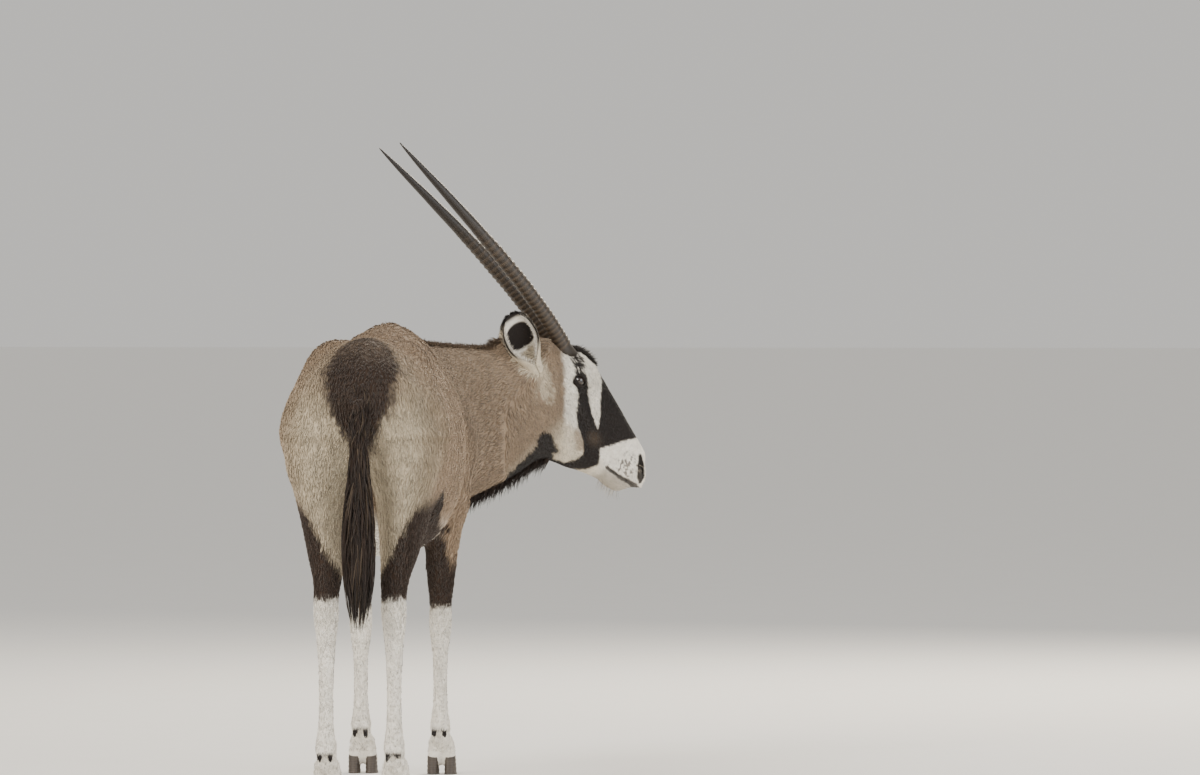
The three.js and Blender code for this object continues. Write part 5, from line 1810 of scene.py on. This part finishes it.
@dataclass
class Ears:
    """Leaf-shaped ears: a thin cup with a rolled root, a dark rim and pale hair inside."""

    body: Anatomy
    palette: Palette
    poses: dict[Side, EarPose] = field(default_factory=lambda: {
        Side.RIGHT: EarPose(-128, 1052, (-92, 48, 138), (0.96, -0.12)),
        Side.LEFT: EarPose(-118, 1048, (12, 96, 136), (0.8, 0.6)),
    })
    side: float = 52
    length: float = 168
    wall: float = 2.6
    bow: float = 12
    rows: Rows = (
        (-0.16, 19, 17), (0, 23, 19), (0.12, 28, 21), (0.27, 39, 23), (0.42, 46, 23), (0.58, 48, 21),
        (0.74, 44, 16), (0.86, 35, 11), (0.95, 22, 7), (1, 9, 3.5),
    )

    def axes(self, side: Side) -> tuple[Array, Array, Array, Array]:
        """Root, long axis, the way the cup opens, and the way across it."""
        sign, pose = side.value, self.poses[side]
        root = self.body.head_level_point(pose.ahead, sign * self.side, pose.height)
        tip = self.body.head_level_point(pose.ahead + pose.reach[0], sign * (self.side + pose.reach[1]),
                                         pose.height + pose.reach[2])
        axis = unit((tip - root)[None])[0]
        outwards = self.body.head_right * sign * pose.opening[0] + self.body.head_ahead * pose.opening[1]
        opening = unit((outwards - (outwards @ axis) * axis)[None])[0]
        return root, axis, opening, np.cross(opening, axis)

    def roll(self, share: Array) -> Array:
        """How far round from its back the cup's wall reaches, in radians."""
        return np.interp(share, [-0.14, 0.06, 0.16, 0.28, 0.45, 1.0], [3.12, 3.1, 2.72, 2.3, 2.0, 1.85])

    def surface(self, side: Side, share: Array, turn: Array, inset: float) -> Array:
        """Places on the cup: share of its length, turn round its back, and depth inwards."""
        root, axis, opening, across = self.axes(side)
        row = Table(self.rows).at(share.ravel())
        half = (row[:, 1] - inset).reshape(share.shape)
        deep = (row[:, 2] - inset).reshape(share.shape)
        centre = root + axis * (share * self.length)[..., None] + opening * (self.bow * share ** 2)[..., None]
        curl = 1 + 0.10 * np.cos(turn) ** 4
        return (
            centre + across * (np.sin(turn) * half * curl)[..., None]
            - opening * (np.cos(turn) * deep - deep * 0.35)[..., None]
        )

    def build(self, side: Side, material: Material) -> Piece:
        """Builds the cup of one ear.

        Args:
            side: Which ear.
            material: Its finish.

        Returns:
            The piece.
        """
        around, rows = 44, 48
        share = np.linspace(-0.12, 0.995, rows)[:, None] * np.ones((1, around))
        turn = np.linspace(-1, 1, around)[None] * self.roll(share[:, :1])
        outer = self.surface(side, share, turn, 0.0)
        inner = self.surface(side, share, turn * 0.985, self.wall)
        loop = np.concatenate([outer, inner[:, ::-1]], axis=1)
        width = loop.shape[1]
        caps = []
        for row, flip in ((0, 1), (rows - 1, -1)):
            base = row * width
            for k in range(around - 1):
                quad = [base + k, base + k + 1, base + width - 2 - k, base + width - 1 - k][::flip]
                caps += [(quad[2], quad[1], quad[0]), (quad[3], quad[2], quad[0])]
        points = loop.reshape(-1, 3)
        faces = outward(points, np.concatenate([tube(rows, width), np.array(caps)]))
        tones = self.tones(share, turn, np.abs(np.linspace(-1, 1, around))[None] * np.ones((rows, 1)))
        piece = mesh_piece(f"ear_{side.word}_cup", points, faces, tones.reshape(-1, 3), material)
        return settle(piece, "coat", f"ear_{side.word}")

    def tones(self, share: Array, turn: Array, across: Array) -> Array:
        """Colours of the outer face, then of the inner one, round each row."""
        tones = self.palette
        rim = np.maximum(step(0.86, 0.97, across) * step(0.2, 0.4, share), step(0.86, 0.95, share))
        signed = across * np.sign(turn)
        patch = np.hypot((signed + 0.06) / 0.56, (share - 0.55) / 0.25)
        inside = paint(paint(tones.white, tones.black, 1 - step(0.9, 1.06, patch)), tones.black, rim)
        return np.concatenate([paint(tones.cream, tones.black, rim), inside[:, ::-1]], axis=1)

    def hairs(self, hair: LongHair, side: Side) -> list[Piece]:
        """Pale hairs that grow from the front edge across the cup, and a dark tuft on the rim."""
        rng = np.random.default_rng(241 + side.value)
        _, axis, opening, across = self.axes(side)
        count = 1500
        low = rng.random(count) < 0.4
        share = np.where(low, rng.uniform(-0.06, 0.34, count), rng.uniform(0.2, 0.88, count))
        limit = self.roll(share)
        turn = np.where(rng.random(count) < 0.5, 1, -1) * rng.uniform(0.74, 0.98, count) * limit
        turn = np.where(low, rng.uniform(-1, 1, count) * limit, turn)
        share = np.where(low, np.minimum(share, 0.26), share)
        roots = self.surface(side, share, turn, self.wall)
        inward = -np.sign(turn)[:, None] * across
        ways = unit(inward * rng.uniform(0.1, 0.75, (count, 1)) + axis * np.where(low, 0.9, 0.35)[:, None]
                    + opening * rng.uniform(0.1, 0.4, (count, 1)))
        tone = hair.shades(self.palette.white, count, rng, 0.14)
        inner = hair.piece(f"ear_{side.word}_inner_hair", roots, ways, np.repeat(opening[None], count, axis=0),
                           rng.uniform(9, 18, count), 1.5, 0.0, tone, tone * 0.9, columns(share, turn), 243, 5)
        count = 900
        share = np.concatenate([rng.uniform(0.32, 1.0, count // 2), rng.uniform(0.82, 1.0, count - count // 2)])
        turn = np.where(rng.random(count) < 0.5, 1, -1) * rng.uniform(1.55, 1.92, count)
        turn = np.where(share > 0.9, rng.uniform(-1.9, 1.9, count), turn)
        roots = self.surface(side, share, turn, self.wall * 0.5)
        outwards = np.sign(turn)[:, None] * across * 0.55
        ways = unit(outwards + axis * 0.9 + opening * 0.25)
        tone = hair.shades(self.palette.black, count, rng, 0.3)
        rim = hair.piece(f"ear_{side.word}_rim_hair", roots, ways, np.repeat(opening[None], count, axis=0),
                         rng.uniform(5, 10, count), 1.5, 0.0, tone, tone, columns(share, turn), 245, 4)
        return [settle(inner, "face"), settle(rim, "face")]

    def fur(self, hair: LongHair, side: Side) -> Piece:
        """Short hair over the back of the ear and its root."""
        rng = np.random.default_rng(251 + side.value)
        root, axis, _, _ = self.axes(side)
        count = 2600
        share = rng.uniform(-0.1, 0.97, count)
        limit = self.roll(share)
        turn = rng.uniform(-1, 1, count) * limit
        roots = self.surface(side, share, turn, 0.0)
        ring = self.surface(side, share, turn + 0.05, 0.0)
        outs = unit(np.cross(ring - roots, axis))
        off = roots - root - axis * (share * self.length)[:, None]
        outs = outs * np.sign((off * outs).sum(axis=1))[:, None]
        ways = unit(axis + outs * 0.12 + rng.normal(0, 0.12, (count, 3)))
        rim = step(0.8, 0.95, np.abs(turn) / limit) * step(0.25, 0.4, share)
        rim = np.maximum(rim, step(0.78, 0.92, share))
        tone = hair.shades(self.palette.cream, count, rng, 0.15)
        tone = paint(tone, self.palette.black, rim)
        piece = hair.piece(f"ear_{side.word}_fur", roots, ways, outs, rng.uniform(6, 11, count), 1.7, 0.0,
                           tone, tone, columns(share, turn), 253, 4, 0.4)
        return settle(piece, "coat")


@dataclass
class Hooves:
    """Pairs of long pointed claws under each foot."""

    body: Anatomy
    length: float = 92
    width: float = 37
    spread: float = 20
    heel: float = 14
    coronet: tuple[float, float] = (40, 60)

    def claw(self, name: str, x: float, y: float, side: float) -> tuple[Array, Array]:
        """One claw: flat sole, straight inner wall, sloping toe.

        Args:
            name: The piece's name, for its small differences.
            x: Distance of its middle from the midline.
            y: Place of its heel.
            side: 1 where its rounded wall faces +X.

        Returns:
            Points and faces.
        """
        rows, around = 22, 40
        seed = sum(map(ord, name)) % 7
        rings = []
        for level in np.linspace(0, 1, rows):
            start = 0.09 * level
            end = 1.0 - 0.50 * level - 0.03 * math.sin(level * math.pi)
            turn = np.linspace(0, 2 * math.pi, around, endpoint=False)
            along = 0.5 - 0.5 * np.cos(turn)
            blunt = np.sin(turn)
            half = self.width / 2 * (1 - 0.12 * level) * np.abs(blunt) ** 0.72
            half = half * (1.06 - 0.42 * along ** 2.2)
            inner = np.where(np.sign(blunt) == 1, 1.0, 0.72)
            px = x + side * np.sign(blunt) * half * inner
            py = y + (start + (end - start) * along) * self.length
            top = self.coronet[0] + (self.coronet[1] - self.coronet[0]) * np.clip((py - y) / 55, 0, 1.1)
            bulge = 0.5 * math.sin(level * 26 + seed) * (level < 0.95)
            pz = top * level
            rings.append(columns(px + side * np.sign(blunt) * bulge, py, pz))
        crown = np.array([0, 0, 1.5])
        return closed_tube(np.array(rings), rings[0].mean(axis=0), rings[-1].mean(axis=0) + crown)

    def build(self, material: Material) -> list[Piece]:
        """Builds all the claws.

        Args:
            material: Their finish.

        Returns:
            The pieces.
        """
        pieces = []
        for word, leg in (("foreleg", self.body.fore), ("hindleg", self.body.hind)):
            for side in Side:
                lean = float(self.body.lean(leg.steps[side], np.array([self.coronet[0]]))[0])
                y = leg.foot[1] + lean + self.heel
                for claws, out in (("outer", 1), ("inner", -1)):
                    name = f"{word}_{side.word}_{claws}"
                    x = side.value * (leg.foot[0] + out * self.spread)
                    points, faces = self.claw(name, x, y, side.value * out)
                    tone = np.repeat(from_screen(48, 40, 34)[None], len(points), axis=0)
                    piece = mesh_piece(f"claw_{name}", points, faces, tone, material)
                    pieces.append(settle(piece, "hoof", f"hoof_{name}"))
        return pieces


@dataclass
class Studio:
    """A pale floor, soft light, and a camera a long way behind the animal."""

    body: Anatomy
    distance: float = 22500
    camera_height: float = 1392
    body_heading: float = math.radians(5.4)
    pixel_at_rump: float = 2.45
    rump_column: float = 357
    horizon_row: float = 235
    image: tuple[int, int] = (1200, 775)

    def camera(self) -> Piece:
        """Places the camera as the photograph was taken."""
        data = bpy.data.cameras.new("long_lens")
        data.sensor_width = 36
        data.lens = 36 * self.distance / (self.image[0] * self.pixel_at_rump)
        data.clip_end = 200
        data.clip_start = 0.5
        yaw = math.atan((self.image[0] / 2 - self.rump_column) * self.pixel_at_rump / self.distance)
        pitch = math.atan((self.image[1] / 2 - self.horizon_row) * self.pixel_at_rump / self.distance)
        heading = self.body_heading - yaw
        camera = bpy.data.objects.new("camera", data)
        place = np.array([[math.sin(self.body_heading), -math.cos(self.body_heading), 0]]) * self.distance
        place[0, 2] = self.camera_height
        camera.location = Vector(self.body.to_scene(place)[0])
        camera.rotation_euler = (math.pi / 2 - pitch, 0, heading)
        bpy.context.scene.collection.objects.link(camera)
        bpy.context.scene.camera = camera
        return camera

    def lamp(self, name: str, place: Place, target: Place, size: float,
             power: float, tone: Place) -> None:
        """Adds one soft square lamp that faces a target, in metres."""
        data = bpy.data.lights.new(name, "AREA")
        data.size = size
        data.energy = power
        data.color = tone
        lamp = bpy.data.objects.new(name, data)
        lamp.location = place
        lamp.rotation_euler = (Vector(target) - Vector(place)).to_track_quat("-Z", "Y").to_euler()
        bpy.context.scene.collection.objects.link(lamp)

    def build(self) -> None:
        """Builds floor, lamps and the pale surroundings."""
        size = 90.0
        corners = [(-size, -size, 0), (size, -size, 0), (size, size, 0), (-size, size, 0)]
        mesh = bpy.data.meshes.new("floor")
        mesh.from_pydata(corners, [], [(0, 1, 2, 3)])
        floor = bpy.data.objects.new("floor", mesh)
        mesh.materials.append(FloorFinish().material())
        bpy.context.scene.collection.objects.link(floor)
        aim = (0.0, 0.0, 0.8)
        self.lamp("key_lamp", (-4.6, -6.4, 5.8), aim, 4.6, 720, (1.0, 0.95, 0.88))
        self.lamp("fill_lamp", (5.6, -3.6, 2.6), aim, 4.2, 240, (0.95, 0.97, 1.0))
        self.lamp("rim_lamp", (2.4, 6.0, 4.6), aim, 3.0, 520, (1.0, 0.90, 0.74))
        world = bpy.data.worlds.new("pale_surroundings")
        world.use_nodes = True
        world.node_tree.nodes["Background"].inputs["Color"].default_value = (0.92, 0.90, 0.86, 1)
        world.node_tree.nodes["Background"].inputs["Strength"].default_value = 0.72
        bpy.context.scene.world = world
        bpy.context.scene.view_settings.view_transform = "AgX"


def main() -> None:
    """Builds the animal and its studio, and reports each piece."""
    logging.basicConfig(level=logging.INFO, format="%(name)s %(message)s")
    studio = Studio(BODY)
    studio.camera()
    studio.build()
    palette = Palette()
    markings = Markings(BODY, palette)
    fur = FurFinish("short_coat")
    lock_material = FurFinish("long_locks", 0.35, 0.55, 0.05, 0.3, 0.0008).material()
    skin = Skin(BODY, markings)
    hide_material = FurFinish("skin_under_coat", 0.3, 0.8, 0.1, 0.9, 0.0025).material()
    flesh = ("torso", "neck", "head", "foreleg_right", "foreleg_left", "hindleg_right", "hindleg_left")
    settle(skin.build(hide_material), "coat", *flesh)
    lie = Lie(BODY)
    Coat(skin, lie, fur).build()
    hair = LongHair(BODY, palette, lock_material)
    settle(hair.mane(), "long_hair")
    settle(hair.fringe(), "long_hair")
    settle(hair.tail(), "long_hair", "tail_switch")
    settle(hair.forelock(), "long_hair")
    settle(hair.whiskers(), "face")
    settle(TailDock(BODY, palette).build(lock_material), "long_hair", "tail_dock")
    horn_material = HornFinish().material()
    eye_material = EyeFinish().material()
    horns, eyes, ears = Horns(BODY, palette), Eyes(BODY, palette), Ears(BODY, palette)
    for side in Side:
        horns.build(side, horn_material)
        eyes.ball(side, eye_material)
        eyes.lids(side, lock_material)
        settle(eyes.lashes(hair, side), "face")
        ears.build(side, hide_material)
        ears.hairs(hair, side)
        ears.fur(hair, side)
    Hooves(BODY).build(HoofFinish().material())


if __name__ == "__main__":
    main()
